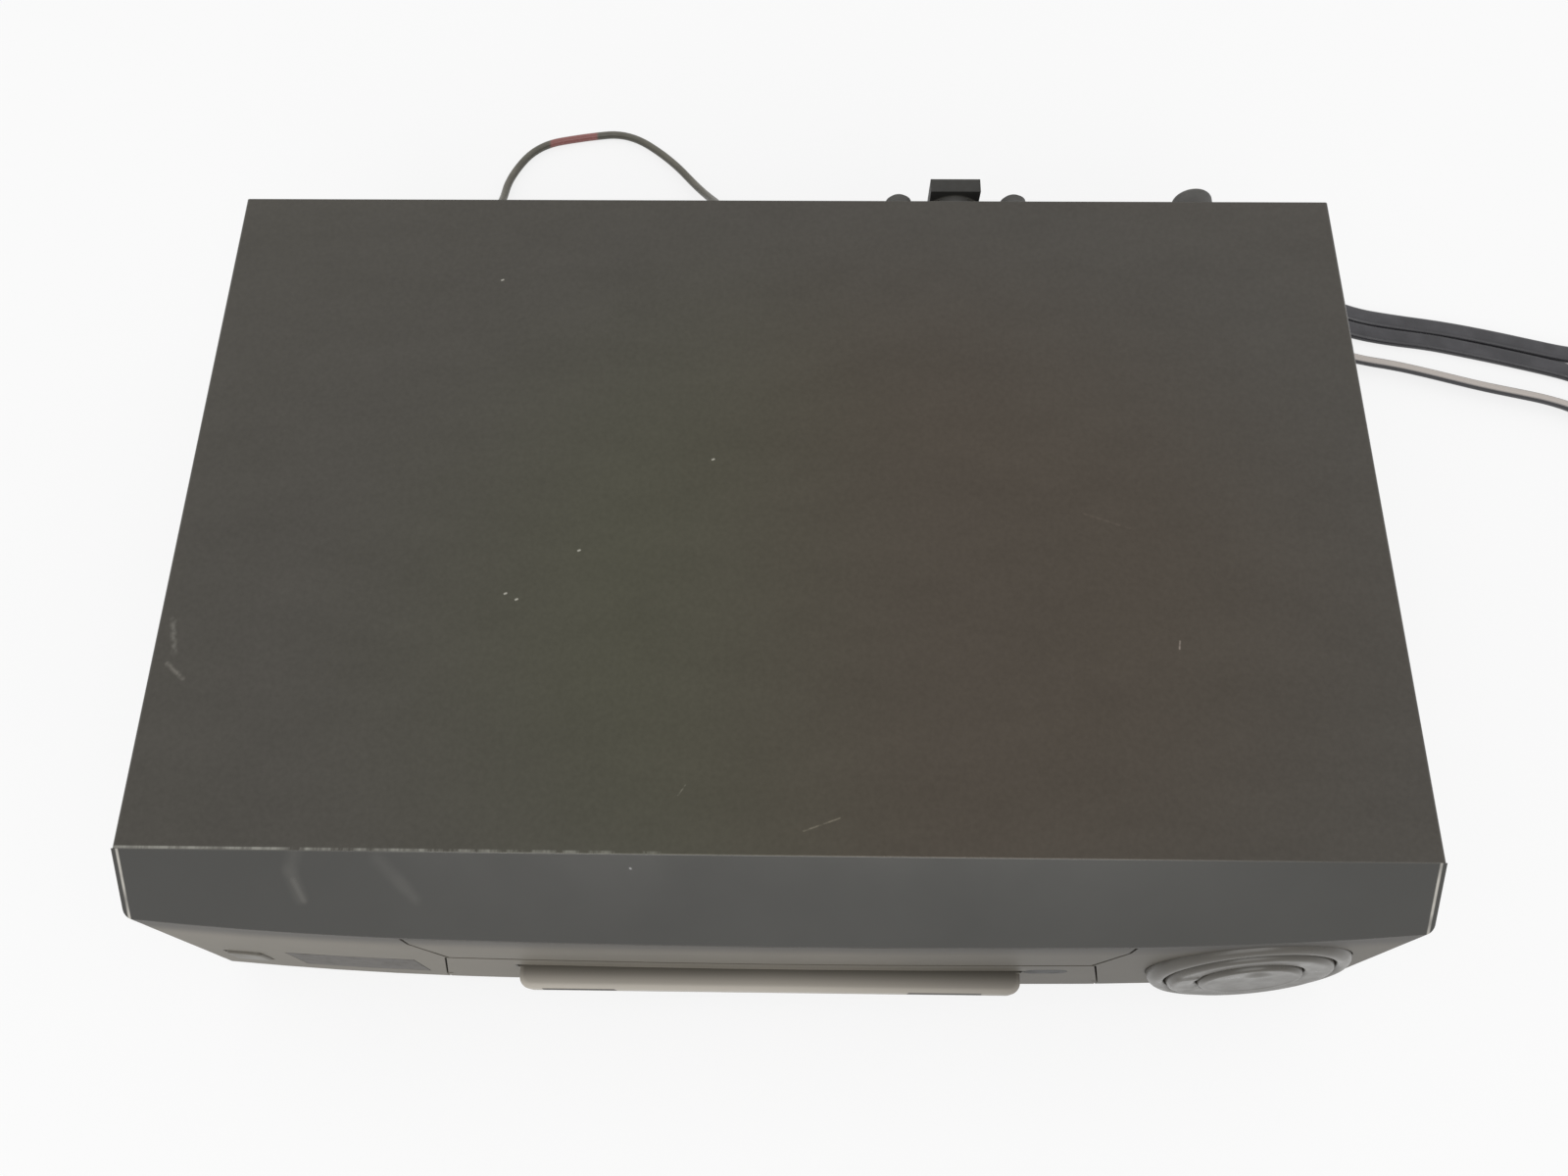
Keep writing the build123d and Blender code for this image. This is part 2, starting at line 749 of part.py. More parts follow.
def vent_slots():
    high = case_height - vent_down
    starts = [vent_inset - half_width + i * vent_pitch for i in range(vent_count)]
    return [block(x, x + vent_width, -far, far, high - vent_height, high) for x in starts]


def make_rear_panel():
    panel = block(-inner_half, inner_half, rear_panel_in_y, rear_panel_out_y, chassis_top_z + seat_gap,
                  case_height - cover_sheet - seat_gap)
    gap = 0.3
    for x in (coax_left_x, coax_right_x):
        panel = panel - rod_y(x, rear_panel_in_y - 2, rear_panel_out_y + 2, coax_z, coax_nut_radius + gap)
    aerial_z = (aerial_low_z + aerial_high_z) / 2
    panel = panel - rod_y(aerial_x, rear_panel_in_y - 2, rear_panel_out_y + 2, aerial_z,
                          aerial_collar_radius + gap)
    panel = panel - rod_y(round_socket_x, rear_panel_in_y - 2, rear_panel_out_y + 2, round_socket_z,
                          round_socket_radius + gap)
    for x in jack_row_x:
        panel = panel - rod_y(x, rear_panel_in_y - 2, rear_panel_out_y + 2, jack_z, jack_barrel_radius + gap)
    panel = panel - rod_y(mains_exit_x, rear_panel_in_y - 2, rear_panel_out_y + 2, mains_exit_z,
                          relief_base_radius - 1.5 + 0.1)
    reach = switch_travel + switch_knob / 2 + gap
    panel = panel - block(switch_x - switch_knob / 2 - gap, switch_x + reach, rear_panel_in_y - 2,
                          rear_panel_out_y + 2, switch_z - switch_knob / 2 - gap,
                          switch_z + switch_knob / 2 + gap)
    for slot in vent_slots():
        panel = panel - slot
    for x, _, z in rear_screw_places():
        panel = panel - rod_y(x, rear_panel_in_y - 2, rear_panel_out_y + 2, z, screw_radius + 0.2)
    return panel


def make_screws():
    screws = []
    for side, y, z in side_screw_places():
        head = sorted((side * half_width, side * (half_width + screw_head_height)))
        shank = sorted((side * (inner_half - chassis_sheet - 2), side * half_width))
        screws.append(rod_x(head[0], head[1], y, z, screw_head_radius) + rod_x(shank[0], shank[1], y, z,
                                                                               screw_radius))
    for x, y, z in rear_screw_places():
        screws.append(rod_y(x, y, y + screw_head_height, z, screw_head_radius)
                      + rod_y(x, rear_panel_in_y - 4, y, z, screw_radius))
    return screws


save("top_cover", make_cover())
save("bottom_chassis", make_chassis())
save("rear_panel", make_rear_panel())
save("case_screws", *make_screws())
save("rubber_feet", *[post(side * (half_width - foot_inset_x), y, 0, foot_height, foot_radius)
                      for side in (-1, 1)
                      for y in (cover_front_y + foot_front_inset, case_rear_y - foot_rear_inset)])


# ---------------------------------------------------------------- controls
dial_step = 0.6


def make_bezel():
    """Fixed cup that the two rings turn in: flange, wall and bored floor."""
    back = -dial_cup_depth
    cup = dial_disc(bezel_radius, bezel_proud - bezel_depth, bezel_proud, shuttle_radius + dial_gap)
    cup = cup + dial_disc(bezel_radius - bezel_flange - 0.3, back, bezel_proud - 0.2,
                          shuttle_radius + dial_gap)
    return cup + dial_disc(bezel_radius - bezel_flange - 0.3, back, back + dial_wall,
                           shuttle_hub_radius + running_clearance)


def make_shuttle():
    web_low = -dial_cup_depth + dial_wall + dial_gap
    ring = dial_disc(shuttle_radius, web_low, shuttle_proud, jog_radius + dial_gap)
    ring = ring + dial_disc(shuttle_radius, web_low, web_low + dial_wall,
                            jog_shaft_radius + running_clearance)
    ring = ring + dial_disc(shuttle_hub_radius, -dial_cup_depth - 2.5, web_low + 0.2,
                            jog_shaft_radius + running_clearance)
    # Finger rest: the left part of the ring stands a step higher.
    rest = dial_disc(shuttle_radius - 0.8, shuttle_proud - 0.5, shuttle_proud + dial_step, jog_radius + 1.6)
    wing = dial_plane.location * (Pos(-shuttle_radius, -4, shuttle_proud) * Box(2 * jog_radius, 17, 6))
    return ring + (rest & wing)


def make_jog():
    web_top = -dial_cup_depth + 2 * dial_wall + 2 * dial_gap
    disc = dial_disc(jog_radius, web_top, jog_proud)
    dimple = dial_plane.location * (Pos(0, dimple_offset, jog_proud + 0.2) * Cylinder(dimple_radius, 2.0))
    return disc - dimple + dial_disc(jog_shaft_radius, -dial_cup_depth - encoder_depth + 0.5, web_top + 0.2)


def make_encoder():
    low = -dial_cup_depth - encoder_depth
    body = dial_plane.location * (Pos(0, 0, low + encoder_depth / 2 - 0.15)
                                  * Box(encoder_size, encoder_size, encoder_depth - 0.3))
    return body - dial_disc(shuttle_hub_radius + 0.3, low + 1.0, 0) - dial_disc(jog_shaft_radius + 0.3,
                                                                                low + 0.2, 0)


plate_back_y = panel_plate_y + panel_sheet
switch_front_y = board_front_y - key_switch_depth


def make_key(x, z, width, height, proud_y):
    """Cap through its hole, retaining flange behind the panel and a stem to its switch."""
    cap = block(x - width / 2, x + width / 2, proud_y, plate_back_y + 0.2, z - height / 2, z + height / 2)
    cap = fillet(cap.edges().group_by(Axis.Y)[0], 0.8)
    flange_front = plate_back_y + 0.1
    flange = block(x - width / 2 - key_flange, x + width / 2 + key_flange, flange_front,
                   flange_front + key_flange,
                   z - height / 2 - key_flange, z + height / 2 + key_flange)
    stem = block(x - 1.5, x + 1.5, flange_front, switch_front_y - key_travel - 0.15, z - 1.5, z + 1.5)
    return cap + flange + stem


def make_power_key():
    cap = block(power_key_x - power_key_size / 2, power_key_x + power_key_size / 2,
                front_y(power_key_z) + 1.2,
                cover_front_y - 14, power_key_z - power_key_size / 2, power_key_z + power_key_size / 2)
    cap = fillet(cap.edges().group_by(Axis.Y)[0], 1.0)
    stem = block(power_key_x - 1.5, power_key_x + 1.5, cover_front_y - 14.2,
                 switch_front_y - key_travel - 0.15,
                 power_key_z - 1.5, power_key_z + 1.5)
    return cap + stem


def make_control_panel():
    half = door_half_bottom - 4
    x0, x1 = slot_centre_x - half, slot_centre_x + half
    z0, z1 = fascia_bottom_z + fascia_wall + seat_gap, door_top_z - flap_dip - 0.6
    panel = block(x0, x1, panel_plate_y, plate_back_y, z0, z1)
    shelf_front = front_y(door_top_z) + fascia_wall + 0.8
    panel = panel + block(x0, x1, shelf_front, panel_plate_y + 0.2, z1 - 1.4, z1)
    for x in key_places:
        panel = panel - block(x - key_width / 2 - key_gap, x + key_width / 2 + key_gap,
                              panel_plate_y - key_cut_reach,
                              plate_back_y + key_cut_reach, key_z - key_height / 2 - key_gap,
                              key_z + key_height / 2 + key_gap)
    for x in front_jack_places:
        panel = panel - rod_y(x, panel_plate_y - key_cut_reach, plate_back_y + key_cut_reach, key_z,
                              jack_barrel_radius + jack_hole_gap)
    return panel


def make_front_board():
    right = half_width - board_side_room
    back = board_front_y + board_sheet
    board = block(-right, right, board_front_y, back, board_low_z, board_high_z)
    board = board + block(slot_centre_x + slot_half_top + board_tab_beside, right, board_front_y, back,
                          board_high_z - 1,
                          dial_z + board_tab)
    for x, z in [(x, key_z) for x in key_places] + [(power_key_x, power_key_z)]:
        board = board + block(x - key_switch_half, x + key_switch_half, switch_front_y, board_front_y + 0.2,
                              z - key_switch_half, z + key_switch_half)
    # Sealed display tube behind its window.
    tube_front = front_y(window_high_z) + tube_behind
    board = board + block(window_left_x + tube_inset, window_right_x - tube_inset, tube_front,
                          board_front_y + 0.2,
                          window_low_z + tube_margin, window_high_z - tube_margin)
    # The dial's encoder stands on the board on a stepped carrier.
    carrier_half = encoder_size / 2 - carrier_inset
    carrier = block(dial_x - carrier_half, dial_x + carrier_half, board_front_y - carrier_depth,
                    board_front_y + 0.2,
                    dial_z - carrier_half, dial_z + carrier_half)
    sockets = dial_disc(shuttle_hub_radius + 0.3, -dial_cup_depth - encoder_depth + 1.0, 0)
    sockets = sockets + dial_disc(jog_shaft_radius + 0.3, -dial_cup_depth - encoder_depth + 0.2, 0)
    return board + (carrier - sockets) + make_encoder()


def make_front_jack(x):
    body = block(x - front_jack_half_width, x + front_jack_half_width, plate_back_y + front_jack_seat,
                 board_front_y,
                 key_z - front_jack_half_height, key_z + front_jack_half_height)
    barrel = rod_y(x, panel_plate_y - front_jack_reach, plate_back_y + 1, key_z, jack_barrel_radius)
    return body + barrel - rod_y(x, panel_plate_y - front_jack_reach - 1, plate_back_y + front_jack_hole,
                                 key_z,
                                 jack_bore)


save("dial_bezel", make_bezel())
save("shuttle_ring", make_shuttle())
save("jog_dial", make_jog())
for name, place in zip(key_names, key_places):
    save(name, make_key(place, key_z, key_width, key_height, panel_plate_y - key_proud))
save("power_key", make_power_key())
save("control_panel", make_control_panel())
save("front_board", make_front_board())


# ---------------------------------------------------------------- rear sockets
def make_modulator():
    can = block(modulator_left_x, modulator_right_x, rear_panel_in_y - modulator_depth, rear_panel_in_y,
                modulator_low_z, modulator_high_z)
    reach = switch_travel + switch_knob / 2
    cavity = block(switch_x - switch_knob / 2 - 0.3, switch_x + reach + 0.3, rear_panel_in_y - 4,
                   rear_panel_in_y + 1,
                   switch_z - switch_knob / 2 - 0.3, switch_z + switch_knob / 2 + 0.3)
    return can - cavity


def make_coax(x):
    nut = extrude(RegularPolygon(coax_nut_radius, 6), coax_reach / 4)
    nut = Pos(x, rear_panel_in_y + coax_reach / 4, coax_z) * Rot(90, 0, 0) * nut
    end = case_rear_y + coax_reach
    barrel = rod_y(x, rear_panel_in_y, end, coax_z, coax_radius)
    barrel = chamfer(barrel.edges().group_by(Axis.Y)[-1], 1.2)
    return nut + barrel - rod_y(x, end - 8, end + 1, coax_z, coax_bore)


def make_aerial_block():
    z = (aerial_low_z + aerial_high_z) / 2
    front = aerial_rear_y - aerial_plate
    plate = block(aerial_x - aerial_width / 2, aerial_x + aerial_width / 2, front, aerial_rear_y,
                  aerial_low_z,
                  aerial_high_z)
    return plate - rod_y(aerial_x, front - 1, aerial_rear_y + 1, z, aerial_bore)


def make_aerial_collar():
    z = (aerial_low_z + aerial_high_z) / 2
    collar = rod_y(aerial_x, rear_panel_in_y, aerial_rear_y - aerial_plate, z, aerial_collar_radius)
    return collar - rod_y(aerial_x, aerial_rear_y - aerial_plate - aerial_hole_depth, aerial_rear_y, z,
                          aerial_bore)


def make_round_socket():
    end = case_rear_y + round_socket_reach
    half = round_body_half
    body = block(round_socket_x - half, round_socket_x + half, rear_panel_in_y - round_body_depth,
                 rear_panel_in_y,
                 round_socket_z - half, round_socket_z + half)
    barrel = rod_y(round_socket_x, rear_panel_in_y - 1, end, round_socket_z, round_socket_radius)
    barrel = fillet(barrel.edges().group_by(Axis.Y)[-1], round_edge_round)
    return body + barrel - rod_y(round_socket_x, end - round_hole_depth, end + 1, round_socket_z,
                                 round_socket_bore)


def make_jack(x):
    body = block(x - jack_body_width / 2, x + jack_body_width / 2, rear_panel_in_y - jack_body_depth,
                 rear_panel_in_y,
                 board_top_z, jack_z + jack_body_width / 2)
    end = rear_panel_out_y + jack_barrel_length
    barrel = rod_y(x, rear_panel_in_y - 1, end, jack_z, jack_barrel_radius)
    return body + barrel - rod_y(x, end - 7, end + 1, jack_z, jack_bore)


def make_switch_knob():
    half = switch_knob / 2
    return block(switch_x - half, switch_x + half, rear_panel_in_y - 3.7, rear_panel_out_y + 1.4,
                 switch_z - half,
                 switch_z + half)


save("rf_modulator", make_modulator())
save("aerial_sockets", make_coax(coax_left_x), make_coax(coax_right_x), make_aerial_collar(),
     make_round_socket())
save("aerial_block", make_aerial_block())
save("av_jacks", *[make_jack(x) for x in jack_row_x], *[make_front_jack(x) for x in front_jack_places])
save("channel_switch", make_switch_knob())


# ---------------------------------------------------------------- tape deck


def deck_x(share):
    """Place across the deck, as a share of the cassette's width from its middle."""
    return deck_centre_x + share * cassette_width


reel_places = [deck_x(-reel_spacing_share / 2), deck_x(reel_spacing_share / 2)]
idler_radius = reel_places[1] - deck_centre_x - reel_radius - idler_side_room
holder_front_y = cover_front_y + holder_front_inset
holder_rear_y = holder_front_y + holder_depth
holder_top_z = holder_rest_z + cassette_height + 1.0
holder_pin_z = holder_rest_z + 13.0
carriage_low_z = holder_pin_z - cassette_drop - holder_pin_radius - 4.0
carriage_top_z = holder_top_z + holder_sheet + 2.2
carriage_pin_z = carriage_top_z - 7.0
carriage_mid_y = holder_front_y + holder_depth / 2
idler_reach = clutch_roller_radius + idler_radius + wheel_gap
idler_at = (deck_centre_x, clutch_y + idler_reach)
idler_low_z = deck_top_z + 1.0
capstan_x = deck_x(capstan_share)
capstan_at = (capstan_x, capstan_y)
pinch_pivot = (deck_x(pinch_pivot_share), pinch_pivot_y)
tension_pivot = (deck_x(tension_pivot_share), tension_pivot_y)
tension_pin = (deck_x(tension_pin_share), tension_pin_y)
erase_head = (deck_x(erase_head_share), erase_head_y)
audio_head = (deck_x(audio_head_share), audio_head_y)
cam_x = deck_x(cam_share)


def turned(point, centre, degrees):
    angle = math.radians(degrees)
    dx, dy = point[0] - centre[0], point[1] - centre[1]
    return (centre[0] + dx * math.cos(angle) - dy * math.sin(angle),
            centre[1] + dx * math.sin(angle) + dy * math.cos(angle))


pinch_contact_gap = capstan_radius + pinch_roller_radius + wheel_gap
pinch_contact = (capstan_x + pinch_contact_gap * math.cos(math.radians(pinch_contact_angle)),
                 capstan_y + pinch_contact_gap * math.sin(math.radians(pinch_contact_angle)))
pinch_rest = turned(pinch_contact, pinch_pivot, pinch_swing)
arm_low_z = deck_top_z + 1.0
arm_top_z = arm_low_z + arm_sheet


def guide_ends(side):
    """Start and end of one threading guide's travel."""
    return [(deck_x(side * guide_start_share), guide_start_y), (deck_x(side * guide_end_share), guide_end_y)]


def make_deck_plate():
    deck = block(deck_left_x, deck_right_x, deck_front_y, deck_rear_y, deck_low_z, deck_top_z)
    for side in (-1, 1):
        a, b = guide_ends(side)
        slot = bar_between(a, b, deck_low_z - 1, deck_top_z + 1, guide_key_radius + slot_clearance)
        deck = deck - slot
    for x in reel_places:
        deck = deck + post(x, reel_y, deck_top_z - 0.2, deck_top_z + reel_hub_height + 2, reel_pin_radius)
    boss_top = deck_top_z + 3.0
    deck = deck + post(*capstan_at, deck_low_z - 1.0, boss_top, capstan_boss_radius)
    deck = deck - post(*capstan_at, deck_low_z - 3.0, boss_top + 1, capstan_radius + running_clearance)
    clutch_boss = reel_pin_radius + 2.5
    deck = deck + post(deck_centre_x, clutch_y, deck_low_z - 1.0, deck_top_z, clutch_boss)
    deck = deck - post(deck_centre_x, clutch_y, deck_low_z - 3.0, deck_top_z + 2,
                       reel_pin_radius + running_clearance)
    for pivot, top in ((pinch_pivot, arm_top_z + 2), (tension_pivot, arm_top_z + 2),
                       ((cam_x, cam_y), deck_top_z + cam_height)):
        deck = deck + post(*pivot, deck_top_z - 0.2, top, reel_pin_radius)
    return deck


def tilted(shape):
    """Drum parts stand on the drum's tilted axis."""
    return Pos(deck_centre_x, drum_y, deck_top_z + drum_base) * Rot(drum_tilt, 0, 0) * shape


def make_lower_drum():
    drum = tilted(Pos(0, 0, lower_drum_height / 2) * Cylinder(drum_radius, lower_drum_height))
    foot = post(deck_centre_x, drum_y, deck_top_z, deck_top_z + drum_base + 4, drum_radius - 6)
    bore = tilted(Pos(0, 0, lower_drum_height - 4) * Cylinder(drum_shaft_radius + running_clearance, 8.5))
    return drum + foot - bore


def make_upper_drum():
    low = lower_drum_height + drum_gap
    drum = tilted(Pos(0, 0, low + upper_drum_height / 2) * Cylinder(drum_radius, upper_drum_height))
    rebate = tilted(Pos(0, 0, low + upper_drum_height) * Cylinder(drum_radius - 8, 8))
    drum = drum - rebate + tilted(Pos(0, 0, low + upper_drum_height - 3) * Cylinder(9, 5))
    shaft = tilted(Pos(0, 0, lower_drum_height - 3.5 + 2) * Cylinder(drum_shaft_radius, 8.0))
    head_notches = [tilted(Rot(0, 0, angle) * Pos(drum_radius, 0,
                                                  low + 1.2) * Box(3, 4, 2.4)) for angle in (0, 180)]
    for notch in head_notches:
        drum = drum - notch
    return drum + shaft


def make_reel(x):
    low = deck_top_z + 0.4
    reel = post(x, reel_y, low, low + reel_table, reel_radius) + post(x, reel_y, low, low + reel_hub_height,
                                                                      reel_hub_radius)
    for i in range(6):
        spline = Pos(x, reel_y, low + reel_hub_height / 2) * Rot(0, 0, 60 * i) * Pos(reel_hub_radius, 0,
                                                                                     0) * Box(
            2.0, 1.6, reel_hub_height)
        reel = reel + spline
    return reel - post(x, reel_y, low - 1, low + reel_hub_height + 1, reel_pin_radius + running_clearance)


def make_clutch_pulley():
    low = deck_low_z - 1.5 - pulley_height
    pulley = post(deck_centre_x, clutch_y, low, low + pulley_height, clutch_pulley_radius)
    shaft = post(deck_centre_x, clutch_y, low, idler_low_z + idler_thickness, reel_pin_radius)
    roller = post(deck_centre_x, clutch_y, idler_low_z, idler_low_z + idler_thickness, clutch_roller_radius)
    return pulley + shaft + roller


def make_idler_arm():
    low = deck_top_z + 0.15
    high = low + idler_arm_sheet
    arm = bar_between((deck_centre_x, clutch_y), idler_at, low, high, 4.5)
    arm = arm - post(deck_centre_x, clutch_y, low - 1, high + 1, reel_pin_radius + running_clearance)
    return arm + post(*idler_at, high - 0.2, idler_low_z + idler_thickness, reel_pin_radius)


def make_idler_wheel():
    wheel = post(*idler_at, idler_low_z, idler_low_z + idler_thickness, idler_radius)
    wheel = wheel - post(*idler_at, idler_low_z - 1, idler_low_z + idler_thickness + 1,
                         reel_pin_radius + running_clearance)
    for i in range(3):
        angle = math.radians(120 * i + 30)
        hole = (idler_at[0] + 13 * math.cos(angle), idler_at[1] + 13 * math.sin(angle))
        wheel = wheel - post(*hole, idler_low_z - 1, idler_low_z + idler_thickness + 1, 5.0)
    return wheel


def make_capstan():
    shaft = post(*capstan_at, flywheel_low_z, deck_top_z + capstan_height, capstan_radius)
    flywheel = post(*capstan_at, flywheel_low_z, flywheel_low_z + flywheel_height, flywheel_radius)
    pulley_low = deck_low_z - 1.5 - pulley_height
    return shaft + flywheel + post(*capstan_at, flywheel_low_z + flywheel_height - 0.2,
                                   pulley_low + pulley_height,
                                   drive_pulley_radius)


def make_stator():
    """Coil plate of the capstan motor, on the main board under its flywheel."""
    top = flywheel_low_z - 0.5
    plate = post(*capstan_at, board_top_z - 0.1, board_top_z + 1.2, flywheel_radius + 3)
    coils = [Pos(*turned((capstan_x + 17, capstan_y), capstan_at, 60 * i), (board_top_z + top) / 2)
             * Cylinder(6.5, top - board_top_z) for i in range(6)]
    for coil in coils:
        plate = plate + coil
    return plate


def make_belt():
    """Flat loop round the capstan's pulley and the clutch's pulley."""
    low = deck_low_z - 1.5 - pulley_height + (pulley_height - belt_height) / 2

    def loop(extra):
        rings = Edge.make_circle(drive_pulley_radius + extra, Plane(capstan_at + (low,))), Edge.make_circle(
            clutch_pulley_radius + extra, Plane((deck_centre_x, clutch_y, low)))
        return Solid.extrude(Face(Wire(make_hull(rings).edges())), Vector(0, 0, belt_height))

    return loop(slot_clearance + belt_thickness) - loop(slot_clearance)


def make_pinch_arm():
    arm = bar_between(pinch_pivot, pinch_rest, arm_low_z, arm_top_z, arm_half_width)
    arm = arm - post(*pinch_pivot, arm_low_z - 1, arm_top_z + 1, reel_pin_radius + running_clearance)
    return arm + post(*pinch_rest, arm_top_z - 0.2, arm_top_z + pinch_roller_height + 1.6, reel_pin_radius)


def make_pinch_roller():
    low = arm_top_z + 0.4
    roller = post(*pinch_rest, low, low + pinch_roller_height, pinch_roller_radius)
    return roller - post(*pinch_rest, low - 1, low + pinch_roller_height + 1,
                         reel_pin_radius + running_clearance)


def make_guide(side):
    at = guide_ends(side)[0]
    low = deck_top_z + 0.15
    base = block(at[0] - guide_base / 2, at[0] + guide_base / 2, at[1] - guide_base / 2,
                 at[1] + guide_base / 2, low,
                 low + guide_base_height)
    roller = post(*at, low + guide_base_height - 0.1, low + guide_base_height + guide_height,
                  guide_pin_radius)
    flange = post(*at, low + guide_base_height + guide_height - 1.4, low + guide_base_height + guide_height,
                  guide_pin_radius + 1.0)
    return base + roller + flange + post(*at, deck_low_z - 0.4, low + 0.2, guide_key_radius)


def make_tension_arm():
    arm = bar_between(tension_pivot, tension_pin, arm_low_z, arm_top_z, 3.2)
    arm = arm - post(*tension_pivot, arm_low_z - 1, arm_top_z + 1, reel_pin_radius + running_clearance)
    return arm + post(*tension_pin, arm_top_z - 0.1, arm_top_z + head_height, 1.6)


def make_head(at):
    base = block(at[0] - head_width / 2 - 2, at[0] + head_width / 2 + 2, at[1] - head_depth / 2,
                 at[1] + head_depth / 2,
                 deck_top_z, deck_top_z + 1.5)
    body = block(at[0] - head_width / 2, at[0] + head_width / 2, at[1] - head_depth / 2,
                 at[1] + head_depth / 2,
                 deck_top_z + 1.4, deck_top_z + head_height)
    return base + fillet(body.edges().filter_by(Axis.Z).group_by(Axis.Y)[0], 2.5)


def toothed_disc(radius, teeth, height, tooth_depth):
    """Gear drawn as a disc with square-cut gaps."""
    disc = Cylinder(radius, height)
    width = math.pi * radius / teeth
    gaps = [Rot(0, 0, 360 * i / teeth) * Pos(radius, 0, 0) * Box(2 * tooth_depth, width,
                                                                 height + 2) for i in range(teeth)]
    return disc - Compound(gaps)


def make_cam_gear():
    low = deck_top_z + 0.4
    gear = Pos(cam_x, cam_y, low + cam_height / 2) * toothed_disc(cam_radius, cam_teeth, cam_height, 1.0)
    waist = post(cam_x, cam_y, low + 4, low + 6, cam_radius + 2) - post(cam_x, cam_y, low + 3, low + 7,
                                                                        cam_radius - 3)
    return gear - waist - post(cam_x, cam_y, low - 1, low + cam_height + 1,
                               reel_pin_radius + running_clearance)


worm_y = cam_y + cam_radius + worm_radius + wheel_gap
worm_left_x = cam_x - worm_length / 2
motor_left_x = cam_x + worm_length / 2 + 8.0


def make_worm():
    worm = rod_x(worm_left_x, worm_left_x + worm_length, worm_y, worm_z, worm_radius)
    for i in range(5):
        x = worm_left_x + 2.0 + i * 2.6
        worm = worm - (rod_x(x, x + 1.2, worm_y, worm_z, worm_radius + 1)
                       - rod_x(x - 1, x + 2.2, worm_y, worm_z, worm_radius - 1.2))
    return worm + rod_x(worm_left_x, motor_left_x + 6.0, worm_y, worm_z, motor_shaft_radius)


def make_loading_motor():
    can = rod_x(motor_left_x, motor_left_x + motor_length, worm_y, worm_z, motor_radius)
    can = chamfer(can.edges().group_by(Axis.X)[-1], 1.5)
    seat = block(motor_left_x, motor_left_x + motor_length, worm_y - 7, worm_y + 7, deck_top_z, worm_z - 6)
    return can + seat - rod_x(motor_left_x - 1, motor_left_x + 6.4, worm_y, worm_z,
                              motor_shaft_radius + running_clearance)


def make_bracket(side):
    x = sorted((deck_centre_x + side * bracket_in, deck_centre_x + side * (bracket_in + carriage_sheet)))
    foot = sorted((x[0], x[1] + side * bracket_foot)) if side > 0 else sorted((x[0] - bracket_foot, x[1]))
    plate = block(x[0], x[1], deck_front_y, bracket_rear_y, deck_top_z, carriage_top_z + bracket_head)
    slot_half = holder_pin_radius + slot_clearance
    slot = block(x[0] - 1, x[1] + 1, carriage_mid_y - slot_half, carriage_mid_y + cassette_travel + slot_half,
                 carriage_pin_z - slot_half, carriage_pin_z + slot_half)
    return plate - slot + block(foot[0], foot[1], deck_front_y + 20, bracket_rear_y, deck_top_z,
                                deck_top_z + carriage_sheet)


def make_carriage():
    x0 = deck_centre_x - carriage_in - carriage_sheet
    x1 = deck_centre_x + carriage_in + carriage_sheet
    body = block(x0, x1, holder_front_y + 2, holder_rear_y - 2, carriage_low_z, carriage_top_z)
    body = body - block(x0 + carriage_sheet, x1 - carriage_sheet, -far, far, -far,
                        carriage_top_z - carriage_sheet)
    slot_half = holder_pin_radius + slot_clearance
    body = body - block(-far, far, carriage_mid_y - slot_half, carriage_mid_y + slot_half,
                        holder_pin_z - cassette_drop - slot_half, holder_pin_z + slot_half)
    window = block(x0 + 20, x1 - 20, holder_front_y + 12, holder_rear_y - 12, carriage_top_z - 5,
                   carriage_top_z + 5)
    reach = bracket_gap + carriage_sheet + 0.7
    pins = [rod_x(x0 - reach, x0 + 0.2, carriage_mid_y, carriage_pin_z, holder_pin_radius),
            rod_x(x1 - 0.2, x1 + reach, carriage_mid_y, carriage_pin_z, holder_pin_radius)]
    return body - window + pins[0] + pins[1]


def make_holder():
    x0 = deck_centre_x - holder_half - holder_sheet
    x1 = deck_centre_x + holder_half + holder_sheet
    body = block(x0, x1, holder_front_y, holder_rear_y, holder_rest_z - holder_sheet,
                 holder_top_z + holder_sheet)
    body = body - block(x0 + holder_sheet, x1 - holder_sheet, -far, far, holder_rest_z, holder_top_z)
    body = body - block(x0 + holder_sheet + holder_ledge, x1 - holder_sheet - holder_ledge, -far, far, -far,
                        holder_rest_z + 1)
    window = block(x0 + 30, x1 - 30, holder_front_y + 10, holder_rear_y - 10, holder_top_z - 1, far)
    reach = carriage_gap + carriage_sheet + 0.3
    pins = [rod_x(x0 - reach, x0 + 0.2, carriage_mid_y, holder_pin_z, holder_pin_radius),
            rod_x(x1 - 0.2, x1 + reach, carriage_mid_y, holder_pin_z, holder_pin_radius)]
    return body - window + pins[0] + pins[1]


save("deck_plate", make_deck_plate())
save("lower_drum", make_lower_drum())
save("upper_drum", make_upper_drum())
save("supply_reel", make_reel(reel_places[0]))
save("takeup_reel", make_reel(reel_places[1]))
save("clutch_pulley", make_clutch_pulley())
save("idler_arm", make_idler_arm())
save("idler_wheel", make_idler_wheel())
save("capstan", make_capstan())
save("reel_belt", make_belt())
save("pinch_arm", make_pinch_arm())
save("pinch_roller", make_pinch_roller())
save("supply_guide", make_guide(-1))
save("takeup_guide", make_guide(1))
save("tension_arm", make_tension_arm())
save("tape_heads", make_head(erase_head), make_head(audio_head))
save("cam_gear", make_cam_gear())
save("loading_worm", make_worm())
save("loading_motor", make_loading_motor())
save("loader_brackets", make_bracket(-1), make_bracket(1))
save("loader_carriage", make_carriage())
save("cassette_holder", make_holder())


